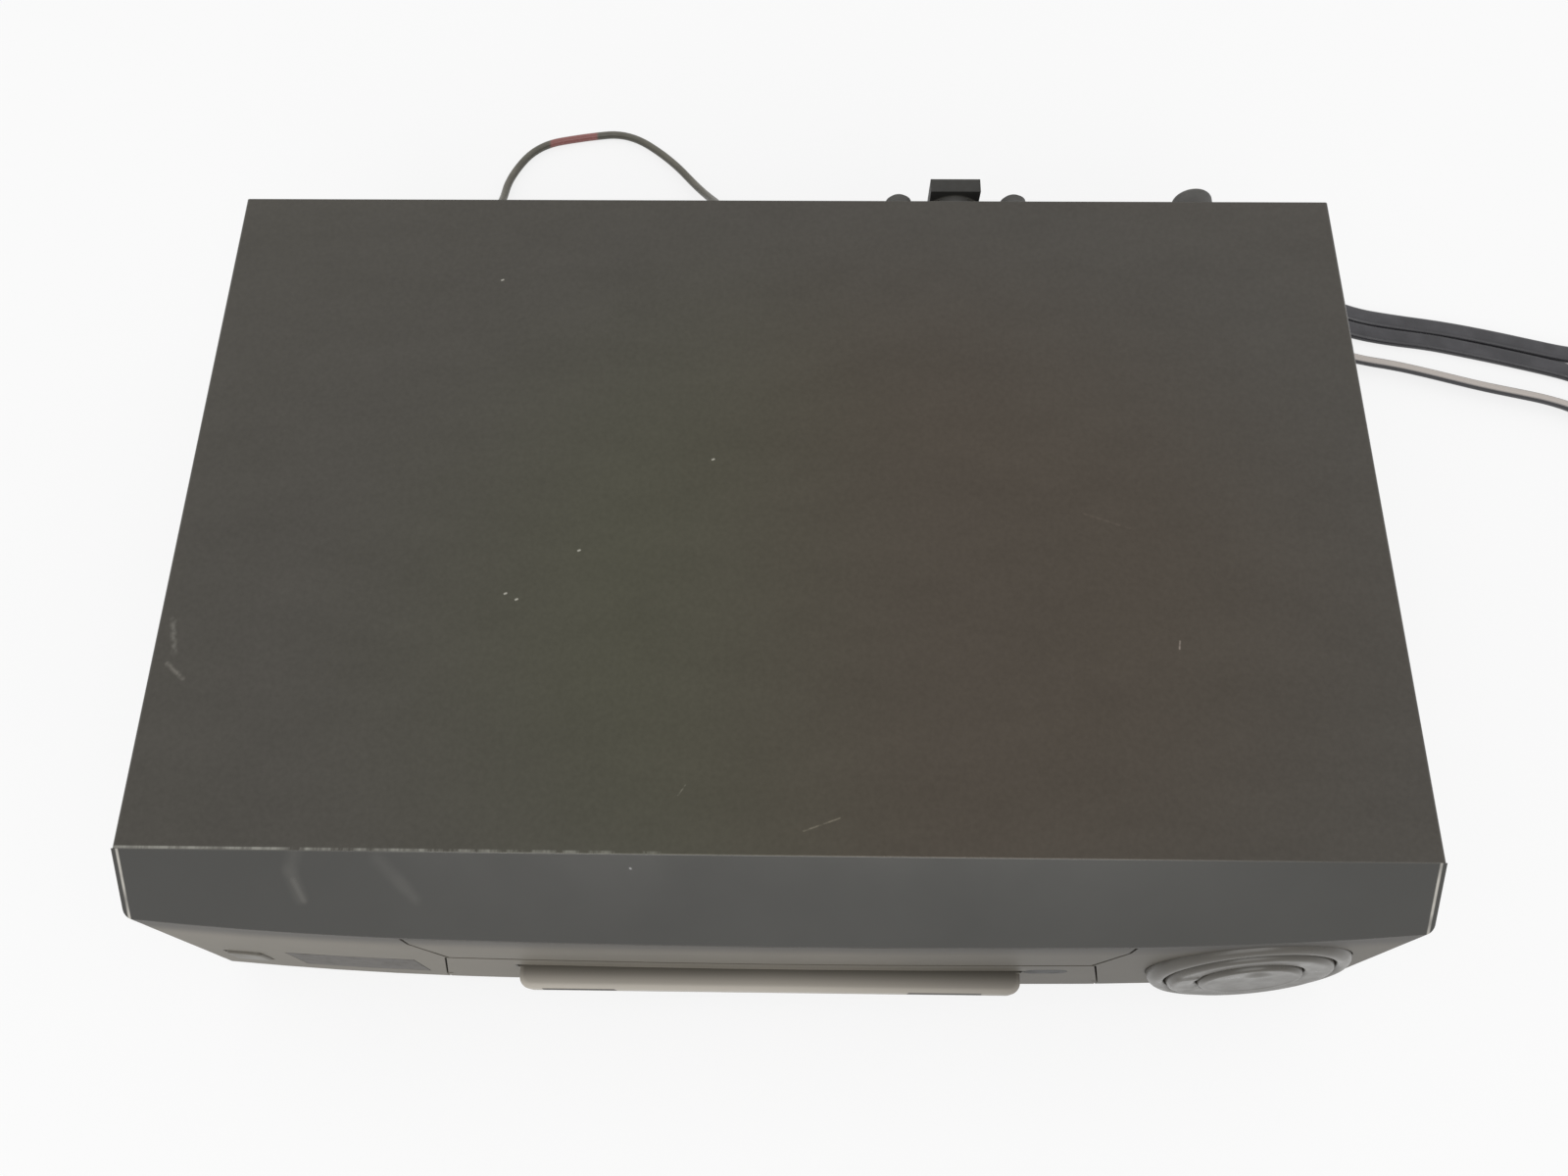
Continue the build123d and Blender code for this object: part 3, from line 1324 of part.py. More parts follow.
# ---------------------------------------------------------------- boards and power supply
def make_main_board():
    board = block(main_board_left_x, main_board_right_x, main_board_front_y, board_rear_y, main_board_low_z,
                  board_top_z)
    for x, y in deck_places:
        board = board - post(x, y, main_board_low_z - 1, board_top_z + 1, deck_post_radius + 0.6)
    for inset, y, size in chip_places:
        x = main_board_left_x + inset
        board = board + block(x - size / 2, x + size / 2, y - size / 3, y + size / 3, board_top_z - 0.1,
                              board_top_z + 3)
    return board + make_stator()


def make_power_board():
    board = block(power_board_left_x, power_board_right_x, power_board_front_y, board_rear_y,
                  main_board_low_z,
                  board_top_z)
    for share, y, radius, height in capacitors:
        x = power_board_left_x + share * power_board_width
        can = post(x, y, board_top_z - 0.1, board_top_z + height, radius)
        board = board + chamfer(can.edges().group_by(Axis.Z)[-1], 0.8)
    return board


def make_transformer():
    x, y = power_board_left_x + transformer_share * power_board_width, transformer_y
    width, depth, height = transformer_size
    core = block(x - width / 2, x + width / 2, y - depth / 4, y + depth / 4, board_top_z,
                 board_top_z + height)
    window = block(x - width / 2 + transformer_rim, x + width / 2 - transformer_rim, y - depth, y + depth,
                   board_top_z + transformer_rim, board_top_z + height - transformer_rim)
    half = width / 2 - transformer_window / 2 - 2
    coil = block(x - half, x + half, y - depth / 2, y + depth / 2, board_top_z + transformer_rim,
                 board_top_z + height - transformer_rim)
    return core - window + fillet(coil.edges().filter_by(Axis.Z), 4.0)


def make_heat_sink():
    z1 = board_top_z + sink_height
    sink_x = power_board_left_x + sink_share * power_board_width
    sink = block(sink_x - 1.0, sink_x + 1.0, sink_y - sink_length / 2, sink_y + sink_length / 2, board_top_z,
                 z1)
    pitch = (sink_length - 2.0) / (sink_fins - 1)
    for i in range(sink_fins):
        y = sink_y - sink_length / 2 + i * pitch
        sink = sink + block(sink_x, sink_x + sink_width, y, y + 2.0, board_top_z, z1)
    return sink


save("main_board", make_main_board())
save("power_board", make_power_board())
save("transformer", make_transformer())
save("heat_sink", make_heat_sink())


# ---------------------------------------------------------------- leads
def lead_path(route):
    """Straight runs with an arc at each corner, as large as its two runs allow."""
    radii = []
    for before, at, after in zip(route, route[1:], route[2:]):
        coming, going = Vector(*at) - Vector(*before), Vector(*after) - Vector(*at)
        half_turn = math.radians(coming.get_angle(going)) / 2
        radii.append(0.45 * min(coming.length, going.length) / math.tan(half_turn))
    return FilletPolyline(*route, radius=radii), radii


def lead_tube(name, route, diameter):
    path, radii = lead_path(route)
    start = Vector(*route[0])
    heading = Vector(*route[1]) - start
    tube = sweep(Plane(start, z_dir=heading) * Circle(diameter / 2), path=path)
    print(name, "length %.0f" % path.length, "volume ratio %.3f" % (tube.volume / path.length
          / (math.pi * diameter**2 / 4)), "radii", [round(r) for r in radii])
    return tube


relief_end_y = rear_panel_out_y + relief_length
mains_floor_z = mains_tube / 2 + 0.05


def level_bend(centre, radius, start, end, steps):
    """Points along a level bend of a lead, from one angle to another about its centre."""
    turns = [math.radians(start + (end - start) * step / steps) for step in range(steps + 1)]
    return [(centre[0] + radius * math.cos(turn), centre[1] + radius * math.sin(turn)) for turn in turns]


# Points out from the case's side and in y: out along the floor, round a wide loop, back beside itself and
# behind
# the case, round a second loop there, and out again to the coil.
mains_drop = ((-59.7, 163.0, 23.2), (-56.5, 175.0, 19.5), (-48.0, 185.5, 14.0), (-35.0, 191.0, 8.3),
              (-20.0, 189.5, 4.2))
mains_out = [(-5.0, 180.0), (12.0, 164.0), (29.0, 149.5), (48.0, 139.4), (66.0, 134.4), (84.5, 131.2),
             (102.6, 127.3),
             (120.5, 122.8), (135.5, 118.7), (146.0, 117.9), (156.5, 120.4), (165.8, 126.6)]
mains_far_loop = level_bend((184.0, 103.2), 30.0, 106, -141, 11)
mains_back = [(155.2, 91.8), (150.3, 99.8), (143.0, 106.0), (134.0, 110.2), (125.5, 112.8), (107.5, 117.7),
              (91.6, 121.6),
              (78.5, 124.6), (63.8, 126.6), (50.6, 129.3), (38.0, 134.0), (25.0, 142.0), (12.0, 151.5),
              (-1.5, 161.5),
              (-17.0, 170.5), (-35.0, 177.5), (-54.0, 182.5), (-72.0, 186.0)]
mains_near_loop = level_bend((-92.0, 157.5), 30.4, 90, 270, 6)
mains_last = [(-70.0, 127.6), (-45.0, 128.6), (-20.0, 129.0), (0.0, 128.5), (17.0, 124.5), (33.0, 118.9),
              (48.0, 114.8),
              (62.0, 112.2), (74.0, 109.0), (85.5, 105.6), (97.0, 102.3), (109.0, 99.5), (121.0, 96.6),
              (132.0, 92.4),
              (142.0, 85.5), (151.0, 75.4), (160.0, 66.3), (171.0, 59.2), (183.0, 54.5), (195.0, 49.5)]
mains_route = [(mains_exit_x, relief_end_y, mains_exit_z)]
mains_route += [(half_width + out, y, z) for out, y, z in mains_drop]
mains_route += [(half_width + out, y, mains_floor_z)
                for out, y in mains_out + mains_far_loop + mains_back + mains_near_loop + mains_last]

patch_floor_z = patch_diameter / 2 + 0.05
patch_left_x, patch_right_x = jack_row_x[1], jack_row_x[2]
patch_start_y = rear_panel_out_y + 2.0 + patch_plug_length
# Points along from the left jack, in y, and in height.
patch_route = [(patch_left_x + along, y, z) for along, y, z in (
    (0.0, patch_start_y, jack_z),
    (-0.6, 160.0, 30.5),
    (1.0, 175.0, 20.0),
    (2.2, 190.0, 6.0),
    (4.0, 206.0, patch_floor_z),
    (16.5, 225.5, patch_floor_z),
    (35.0, 231.0, patch_floor_z),
    (55.0, 233.5, patch_floor_z),
    (74.5, 219.0, patch_floor_z),
    (89.0, 200.0, 3.4),
    (98.5, 184.0, 14.0),
    (103.0, 169.0, 26.0),
    (patch_right_x - patch_left_x, 157.0, 31.2),
    (patch_right_x - patch_left_x, patch_start_y, jack_z),
)]

mains_coil_centre = (half_width + mains_coil_beside, mains_coil_y)
coil_outer = mains_coil_radius + mains_width * mains_coil_columns / 2
coil_inner = mains_coil_radius - mains_width * mains_coil_columns / 2
coil_height = mains_thickness * mains_coil_layers + 0.6


def make_coil():
    ring = post(*mains_coil_centre, 0.0, coil_height, coil_outer) - post(*mains_coil_centre, -1,
                                                                         coil_height + 1, coil_inner)
    return fillet(ring.edges().filter_by(GeomType.CIRCLE), 1.5)


def make_plug():
    """Flat two-blade plug lying on the coil, its lead entering at the back."""
    x = mains_coil_centre[0] + mains_coil_radius
    y1 = mains_coil_centre[1] + 8.0
    y0 = y1 - plug_length
    low = coil_height
    body = block(x - plug_width / 2, x + plug_width / 2, y0, y1, low, low + plug_height)
    body = fillet(body.edges().filter_by(Axis.Y), 3.0)
    middle = low + plug_height / 2
    tail = cone_y(x, y1 - 0.2, y1 + 16, middle, 4.6, relief_tip_radius)
    blades = [block(x + side * blade_pitch / 2 - blade_sheet / 2,
                    x + side * blade_pitch / 2 + blade_sheet / 2,
                    y0 - blade_length, y0, middle - blade_width / 2,
                    middle + blade_width / 2) for side in (-1, 1)]
    return [body + tail] + blades


def make_relief():
    y0 = rear_panel_out_y
    relief = cone_y(mains_exit_x, y0, y0 + relief_length, mains_exit_z, relief_base_radius, relief_tip_radius)
    neck = rod_y(mains_exit_x, rear_panel_in_y - 4, y0 + 0.1, mains_exit_z, relief_base_radius - 1.5)
    return relief + neck


def make_patch_plug(x):
    y0 = rear_panel_out_y + 2.0
    grip = rod_y(x, y0, y0 + patch_plug_length * 0.6, jack_z, patch_plug_radius)
    tail = cone_y(x, y0 + patch_plug_length * 0.6 - 0.1, y0 + patch_plug_length, jack_z,
                  patch_plug_radius - 1,
                  patch_plug_tail)
    return grip + tail - rod_y(x, y0 - 1, rear_panel_out_y + jack_barrel_length + 0.3, jack_z,
                               jack_barrel_radius + 0.1)


save("strain_relief", make_relief())
save("mains_lead", lead_tube("mains_lead", mains_route, mains_tube))
save("mains_coil", make_coil())
save("mains_plug", *make_plug())
save("patch_lead", lead_tube("patch_lead", patch_route, patch_diameter))
save("patch_plugs", make_patch_plug(patch_left_x), make_patch_plug(patch_right_x))
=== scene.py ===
import json
import math

import bmesh
import bpy
from mathutils import Matrix, Vector


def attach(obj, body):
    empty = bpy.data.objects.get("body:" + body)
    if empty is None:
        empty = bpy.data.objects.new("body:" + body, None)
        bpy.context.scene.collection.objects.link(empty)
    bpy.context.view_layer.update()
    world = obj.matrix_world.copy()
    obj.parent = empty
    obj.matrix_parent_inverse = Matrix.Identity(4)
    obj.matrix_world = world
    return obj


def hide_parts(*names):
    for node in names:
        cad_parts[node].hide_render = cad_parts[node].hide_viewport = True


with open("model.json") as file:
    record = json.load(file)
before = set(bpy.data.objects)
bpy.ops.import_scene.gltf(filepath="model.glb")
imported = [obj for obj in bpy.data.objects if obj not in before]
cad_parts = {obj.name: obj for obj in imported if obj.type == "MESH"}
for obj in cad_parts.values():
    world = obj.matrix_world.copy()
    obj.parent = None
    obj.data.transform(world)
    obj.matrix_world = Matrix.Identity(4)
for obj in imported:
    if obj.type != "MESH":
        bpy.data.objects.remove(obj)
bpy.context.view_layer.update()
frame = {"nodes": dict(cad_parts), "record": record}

nodes = frame["nodes"]
MM = 0.001

# Sizes that the solids have too, in millimetres.
case_width, case_height = 380.0, 94.0
half_width = case_width / 2
cover_front_y, rear_y = -105.4, 121.1
brow_run, brow_low_z = 1.206, 74.2
bar_left_x, bar_right_x = -84.5, 80.0
pad_places, pad_half = (-64.0, 54.5), 12.0
block_x = 62.0
floor_lift = 0.15


# ---------------------------------------------------------------- materials
class Finish:
    """One procedural material on the piece's own coordinates, in metres."""

    def __init__(self, name, rough, metal=0.0, **sockets):
        self.material = bpy.data.materials.new(name)
        self.material.use_nodes = True
        self.tree = self.material.node_tree
        self.shader = self.tree.nodes["Principled BSDF"]
        for socket, value in {"Roughness": rough, "Metallic": metal, **sockets}.items():
            self.shader.inputs[socket.replace("_", " ")].default_value = value
        self.place = self.node("ShaderNodeTexCoord").outputs["Object"]
        self.heights = []

    def node(self, kind, **properties):
        made = self.tree.nodes.new(kind)
        for name, value in properties.items():
            setattr(made, name, value)
        return made

    def feed(self, socket, value):
        """Links a socket, or sets a plain value."""
        if isinstance(value, bpy.types.NodeSocket):
            self.tree.links.new(value, socket)
        elif socket.type == "RGBA":
            shade = value if hasattr(value, "__len__") else (value, value, value)
            socket.default_value = (*shade[:3], 1.0)
        else:
            socket.default_value = value

    def math(self, operation, *values, clamp=False):
        made = self.node("ShaderNodeMath", operation=operation, use_clamp=clamp)
        for socket, value in zip(made.inputs, values):
            self.feed(socket, value)
        return made.outputs[0]

    def vector(self, operation, *values, out=0):
        made = self.node("ShaderNodeVectorMath", operation=operation)
        for socket, value in zip(made.inputs, values):
            self.feed(socket, value)
        return made.outputs[out]

    def axis(self, name, source=None):
        split = self.node("ShaderNodeSeparateXYZ")
        self.feed(split.inputs[0], source or self.place)
        return split.outputs[name]

    def across_case(self):
        """0 at the case's left side and 1 at its right."""
        return self.math("MULTIPLY_ADD", self.axis(0), 1 / (case_width * MM), 0.5)

    def stretched(self, scales):
        return self.vector("MULTIPLY", self.place, scales)

    def noise(self, size_mm, detail=2.0, rough=0.5, at=None):
        made = self.node("ShaderNodeTexNoise")
        self.feed(made.inputs["Vector"], at or self.place)
        made.inputs["Scale"].default_value = 1 / (size_mm * MM)
        made.inputs["Detail"].default_value = detail
        made.inputs["Roughness"].default_value = rough
        return made.outputs["Fac"]

    def cells(self, size_mm, feature="F1", random_place=1.0):
        made = self.node("ShaderNodeTexVoronoi", feature=feature)
        self.feed(made.inputs["Vector"], self.place)
        made.inputs["Scale"].default_value = 1 / (size_mm * MM)
        made.inputs["Randomness"].default_value = random_place
        return made.outputs["Distance"]

    def ramp(self, value, *stops, smooth=False):
        """stops are (place, grey or colour)."""
        made = self.node("ShaderNodeValToRGB")
        self.feed(made.inputs[0], value)
        band = made.color_ramp
        band.interpolation = "EASE" if smooth else "LINEAR"
        while len(band.elements) < len(stops):
            band.elements.new(0.5)
        for element, (place, shade) in zip(band.elements, sorted(stops, key=lambda s: s[0])):
            element.position = place
            grey = not hasattr(shade, "__len__")
            element.color = (shade, shade, shade, 1.0) if grey else (*shade, 1.0)
        return made.outputs["Color"]

    def mix(self, share, a, b, blend="MIX"):
        made = self.node("ShaderNodeMix", data_type="RGBA", blend_type=blend)
        self.feed(made.inputs["Factor"], share)
        self.feed(made.inputs[6], a)
        self.feed(made.inputs[7], b)
        return made.outputs[2]

    def between(self, value, low, high, soft):
        """1 where value lies between low and high, with edges soft wide."""
        up = self.math("DIVIDE", self.math("SUBTRACT", value, low), soft, clamp=True)
        down = self.math("DIVIDE", self.math("SUBTRACT", high, value), soft, clamp=True)
        return self.math("MULTIPLY", up, down)

    def streak(self, a_mm, b_mm, width_mm, softness=0.5):
        """1 on a straight mark from a to b, fading across its width."""
        a, b = Vector(a_mm) * MM, Vector(b_mm) * MM
        run = b - a
        from_a = self.vector("SUBTRACT", self.place, tuple(a))
        along = self.math("DIVIDE", self.vector("DOT_PRODUCT", from_a, tuple(run), out=1), run.length_squared,
                          clamp=True)
        spot = self.node("ShaderNodeVectorMath", operation="SCALE")
        spot.inputs[0].default_value = tuple(run)
        self.feed(spot.inputs["Scale"], along)
        away = self.vector("LENGTH", self.vector("SUBTRACT", from_a, spot.outputs[0]), out=1)
        half = width_mm * MM / 2
        return self.math("SUBTRACT", 1.0,
                         self.math("DIVIDE", self.math("SUBTRACT", away, half * (1 - softness)),
                                                    half * softness, clamp=True))

    def edges(self, radius_mm=0.6, strength=8.0):
        """1 along outer and inner edges."""
        bevel = self.node("ShaderNodeBevel", samples=6)
        bevel.inputs["Radius"].default_value = radius_mm * MM
        plain = self.node("ShaderNodeNewGeometry").outputs["Normal"]
        turn = self.vector("DOT_PRODUCT", bevel.outputs[0], plain, out=1)
        return self.math("MULTIPLY", self.math("SUBTRACT", 1.0, turn), strength, clamp=True)

    def colour(self, value):
        self.feed(self.shader.inputs["Base Color"], value)

    def roughness(self, value):
        self.feed(self.shader.inputs["Roughness"], value)

    def relief(self, height, depth_mm, strength=1.0):
        """Adds height, from 0 to 1, to the surface's bump."""
        self.heights.append((height, depth_mm, strength))

    def done(self, round_mm=0.0):
        normal = None
        if round_mm:
            bevel = self.node("ShaderNodeBevel", samples=6)
            bevel.inputs["Radius"].default_value = round_mm * MM
            normal = bevel.outputs[0]
        for height, depth_mm, strength in self.heights:
            bump = self.node("ShaderNodeBump")
            bump.inputs["Strength"].default_value = strength
            bump.inputs["Distance"].default_value = depth_mm * MM
            self.feed(bump.inputs["Height"], height)
            if normal is not None:
                self.feed(bump.inputs["Normal"], normal)
            normal = bump.outputs[0]
        if normal is not None:
            self.feed(self.shader.inputs["Normal"], normal)
        return self.material


def cover_paint():
    """Black satin paint on sheet steel, with marks from use."""
    f = Finish("cover_paint", 0.2, IOR=1.9)
    cloud = f.noise(90, 3, 0.55)
    fine = f.noise(0.8, 2, 0.6)
    across = f.ramp(f.across_case(), (0.3, (0.0036, 0.0036, 0.0016)), (0.62, (0.0038, 0.0024, 0.0016)),
                    smooth=True)
    base = f.mix(f.ramp(cloud, (0.35, 0.0), (0.7, 0.5)), across, (0.0026, 0.0023, 0.0018))
    dust_spots = f.ramp(f.cells(9), (0.0, 1.0), (0.028, 0.0))
    keep = f.ramp(f.noise(30, 1), (0.56, 0.0), (0.6, 1.0))
    base = f.mix(f.math("MULTIPLY", dust_spots, keep), base, (0.05, 0.047, 0.04))
    pale = (0.36, 0.35, 0.31)
    for x, y in ((-84.3, -26.5), (-80.7, -28.4), (-62.6, -11.9), (-21.7, 20.2), (-96.2, 88.4)):
        chip = f.streak((x, y, case_height), (x + 0.5, y + 0.2, case_height), 0.9, 0.8)
        base = f.mix(chip, base, pale)
    top_marks = (
        ((8.4, -98.4), (18.8, -94.6), 0.7, (0.1, 0.09, 0.07)),
        ((-28.0, -88.5), (-26.0, -85.5), 0.6, (0.09, 0.085, 0.07)),
        ((121.3, -42.5), (121.7, -40.0), 0.8, (0.2, 0.17, 0.15)),
        ((-185.5, -36.0), (-183.0, -47.0), 2.6, (0.07, 0.068, 0.06)),
        ((-184.5, -50.0), (-179.0, -54.5), 2.0, (0.085, 0.08, 0.07)),
        ((96.0, 2.0), (110.0, -3.0), 1.0, (0.026, 0.02, 0.016)),
    )
    for a, b, width, shade in top_marks:
        mark = f.streak((*a, case_height), (*b, case_height), width, 0.9)
        broken = f.math("MULTIPLY", mark, f.ramp(f.noise(1.6, 2), (0.35, 0.2), (0.6, 1.0)))
        base = f.mix(broken, base, shade)
    # The front fold has lost paint in dashes, more of it towards the left.
    x, y = f.axis(0), f.axis(1)
    fold = f.between(y, (cover_front_y - 0.2) * MM, (cover_front_y + 0.95) * MM, 0.3 * MM)
    left = f.ramp(f.math("ADD", f.math("MULTIPLY", x, 2.6), 0.5), (0.0, 1.0), (0.4, 0.75), (0.5, 0.3),
                  (1.0, 0.34))
    dashes = f.noise(7.5, 4, 0.7, f.stretched((1, 0.15, 0.15)))
    chipped = f.math("MULTIPLY", fold, f.ramp(f.math("MULTIPLY", dashes, left), (0.36, 0.0), (0.54, 0.7)))
    base = f.mix(chipped, base, (0.3, 0.3, 0.27))
    worn = f.math("MULTIPLY", f.edges(0.5, 5.0), f.ramp(f.noise(14, 3), (0.4, 0.25), (0.65, 0.9)))
    base = f.mix(worn, base, (0.075, 0.07, 0.065))
    # The gloss is tinted greenish at the left, reddish at the right and warm grey toward the edges.
    middle = f.vector("SUBTRACT", f.place, (0.03, -0.03, case_height * MM))
    from_middle = f.vector("LENGTH", f.vector("MULTIPLY", middle, (1.0, 1.2, 0.0)), out=1)
    tint = f.ramp(f.across_case(), (0.35, (1.0, 0.98, 0.74)), (0.66, (1.0, 0.86, 0.7)), smooth=True)
    toward_edge = f.ramp(f.math("DIVIDE", from_middle, 0.2), (0.35, 0.0), (0.95, 1.0), smooth=True)
    tint = f.mix(toward_edge, tint, (1.0, 0.94, 0.84))
    mottle = f.math("ADD", f.ramp(f.noise(1.6, 3, 0.65), (0.3, 0.44), (0.7, 0.56)),
                    f.ramp(f.noise(16, 4, 0.6, f.stretched((0.45, 1, 1))), (0.3, 0.455), (0.7, 0.545)))
    f.feed(f.shader.inputs["Specular Tint"], f.mix(1.0, tint, mottle, "MULTIPLY"))
    f.colour(base)
    f.roughness(f.mix(f.ramp(cloud, (0.4, 0.0), (0.7, 0.6)), f.ramp(fine, (0.3, 0.17), (0.7, 0.24)), 0.2))
    f.relief(f.noise(0.55, 2, 0.5), 0.015, 0.15)
    f.relief(f.noise(45, 2, 0.5), 0.15, 0.3)
    return f.done(0.35)


def on_brow(x, y):
    """Point on the sloping brow in front of the cover."""
    return (x, y, case_height + (y - cover_front_y) / brow_run)


def fascia_plastic():
    """Dark plastic moulding: smooth black brow, and a finely grained taupe front below it."""
    f = Finish("fascia_plastic", 0.5)
    x, y, z = (f.axis(i) for i in range(3))
    facing = f.node("ShaderNodeTexCoord").outputs["Normal"]
    brow = f.math("MULTIPLY", f.ramp(f.axis(2, facing), (0.4, 0.0), (0.5, 1.0)),
                  f.math("GREATER_THAN", z, brow_low_z * MM))
    cloud = f.noise(40, 3, 0.6)
    front = f.mix(f.ramp(cloud, (0.35, 0.0), (0.7, 1.0)), (0.1, 0.09, 0.071), (0.118, 0.106, 0.085))
    # The lip of the bar is painted pale: a painted highlight where its sloping face catches light.
    to_lip = f.ramp(f.math("MULTIPLY", y, -5.0), (0.655, 0.0), (0.69, 1.0), smooth=True)
    beside_bar = f.between(x, bar_left_x * MM, bar_right_x * MM, 0.5 * MM)
    lip_highlight = f.math("MULTIPLY", beside_bar, to_lip)
    front = f.mix(f.math("MULTIPLY", lip_highlight, f.between(z, 22.5 * MM, 40 * MM, 2.5 * MM)), front,
                  (0.4, 0.37, 0.325))
    # The groove above the bar is painted dark: painted shade in the recess.
    groove_shade = f.math("MULTIPLY", beside_bar, f.between(z, 30.8 * MM, 35.3 * MM, 0.4 * MM))
    groove_shade = f.math("MULTIPLY", groove_shade, f.math("SUBTRACT", 1.0, lip_highlight))
    front = f.mix(f.math("MULTIPLY", groove_shade, f.math("LESS_THAN", y, -125 * MM)), front,
                  (0.022, 0.02, 0.016))
    # The top of the front darkens toward the brow: painted shade under the brow's edge.
    under_brow_shade = f.ramp(f.math("DIVIDE", z, 0.1), (0.6, 0.0), (0.742, 0.92), smooth=True)
    front = f.mix(f.math("MULTIPLY", under_brow_shade, f.math("LESS_THAN", y, -120 * MM)), front,
                  (0.03, 0.027, 0.022))
    for pad_x in pad_places:
        pad = f.between(x, (pad_x - pad_half) * MM, (pad_x + pad_half) * MM, 0.4 * MM)
        pad = f.math("MULTIPLY", pad, f.math("LESS_THAN", y, -137.4 * MM))
        front = f.mix(f.math("MULTIPLY", pad, f.between(z, 25 * MM, 30 * MM, 0.4 * MM)), front,
                      (0.02, 0.018, 0.015))
    # The front is painted lighter at the left and darker toward the right: painted light and shade across the
    # case.
    painted_side_light = f.ramp(f.across_case(), (0.0, 1.2), (0.45, 1.0), (0.8, 0.6), (1.0, 0.72), smooth=True)
    front = f.mix(1.0, front, painted_side_light, "MULTIPLY")
    top = f.mix(f.ramp(cloud, (0.35, 0.0), (0.7, 1.0)), (0.0032, 0.0034, 0.0033), (0.0048, 0.0049, 0.0047))
    # Paler streaks on the black brow stand for its dents: painted highlights where the dents catch light. The
    # last is a small pale dot.
    for a, b, width, shade in (
        ((-136.6, -104.6), (-139.2, -110.6), 6.0, (0.022, 0.021, 0.019)),
        ((-139.2, -110.6), (-137.2, -117.6), 5.6, (0.03, 0.029, 0.026)),
        ((-138.6, -113.0), (-136.4, -118.2), 2.6, (0.05, 0.048, 0.044)),
        ((-113.4, -107.4), (-106.8, -114.2), 6.4, (0.019, 0.0185, 0.017)),
        ((-108.0, -113.0), (-103.9, -117.4), 5.2, (0.024, 0.023, 0.021)),
        ((-41.1, -109.0), (-40.9, -109.1), 0.9, (0.3, 0.3, 0.3)),
    ):
        top = f.mix(f.streak(on_brow(*a), on_brow(*b), width, 1.0), top, shade)
    # A bright line is painted along the brow's side edges: a painted highlight on their rounded edges.
    out = f.math("ABSOLUTE", x)
    side = f.between(out, (half_width - 2.1) * MM, (half_width - 1.1) * MM, 0.25 * MM)
    side = f.math("MULTIPLY", side, f.ramp(f.noise(9, 2), (0.3, 0.45), (0.6, 1.0)))
    top = f.mix(side, top, (0.42, 0.4, 0.36))
    base = f.mix(brow, front, top)
    f.colour(f.mix(f.math("MULTIPLY", f.edges(0.5, 5.0), 0.35), base, (0.16, 0.15, 0.13)))
    f.roughness(f.mix(brow, 0.5, f.ramp(cloud, (0.3, 0.18), (0.75, 0.24))))
    f.feed(f.shader.inputs["IOR"], f.math("MULTIPLY_ADD", brow, 0.48, 1.42))
    f.feed(f.shader.inputs["Specular Tint"], f.mix(brow, (1.0, 0.94, 0.84), (1.0, 0.985, 0.93)))
    grain = f.math("MULTIPLY", f.noise(0.5, 2, 0.6), f.math("SUBTRACT", 1.0, f.math("MULTIPLY", brow, 0.9)))
    f.relief(grain, 0.03, 0.25)
    return f.done(0.3)


def moulded(name, low, high, rough, grain_mm=0.5, grain_depth=0.04, worn=None, **sockets):
    """Moulded plastic or rubber: slight colour clouds, fine grain and paler edges."""
    f = Finish(name, rough, **sockets)
    cloud = f.noise(22, 3, 0.6)
    base = f.mix(f.ramp(cloud, (0.35, 0.0), (0.7, 1.0)), low, high)
    if worn:
        rubbed = f.math("MULTIPLY", f.edges(0.4, 4.0), f.ramp(f.noise(4, 2), (0.4, 0.3), (0.65, 0.8)))
        base = f.mix(rubbed, base, worn)
    f.colour(base)
    f.roughness(f.ramp(f.noise(6, 3), (0.3, rough - 0.05), (0.7, min(rough + 0.07, 1.0))))
    f.relief(f.noise(grain_mm, 2, 0.6), grain_depth, 0.3)
    return f.done(0.3)


def sheet_metal(name, low, high, rough, brushed=(1, 1, 1), metal=1.0, blotch_mm=12, worn=None):
    """Plated or painted metal: drawn grain, blotches of finish and bright edges."""
    f = Finish(name, rough, metal)
    blotch = f.noise(blotch_mm, 4, 0.6)
    grain = f.noise(1.2, 3, 0.6, f.stretched(brushed))
    base = f.mix(f.ramp(blotch, (0.35, 0.0), (0.7, 1.0)), low, high)
    base = f.mix(f.math("MULTIPLY", grain, 0.25), base, tuple(c * 0.6 for c in low))
    if worn:
        base = f.mix(f.edges(0.3, 4.0), base, worn)
    f.colour(base)
    f.roughness(f.ramp(f.mix(0.5, blotch, grain), (0.3, max(rough - 0.08, 0.02)), (0.7, rough + 0.1)))
    f.relief(grain, 0.01, 0.3)
    return f.done(0.15)


def circuit_board():
    """Phenolic board: brown card, pale solder dots in rows, darker tracks, and black blocks above it."""
    f = Finish("circuit_board", 0.5)
    base = f.mix(f.noise(8, 4), (0.2, 0.12, 0.05), (0.28, 0.18, 0.08))
    tracks = f.ramp(f.cells(5.0, feature="DISTANCE_TO_EDGE"), (0.0, 1.0), (0.05, 0.0))
    base = f.mix(tracks, base, (0.1, 0.09, 0.03))
    dots = f.ramp(f.cells(2.54, random_place=0.25), (0.2, 1.0), (0.24, 0.0))
    base = f.mix(f.math("MULTIPLY", dots, 0.8), base, (0.55, 0.55, 0.52))
    above = f.between(f.axis(2), 13.0 * MM, 80 * MM, 0.1 * MM)
    base = f.mix(above, base, f.mix(f.noise(3, 3), (0.016, 0.016, 0.017), (0.03, 0.03, 0.032)))
    f.colour(base)
    f.roughness(f.ramp(f.noise(3, 2), (0.3, 0.4), (0.7, 0.6)))
    f.relief(dots, 0.2, 0.5)
    return f.done(0.15)


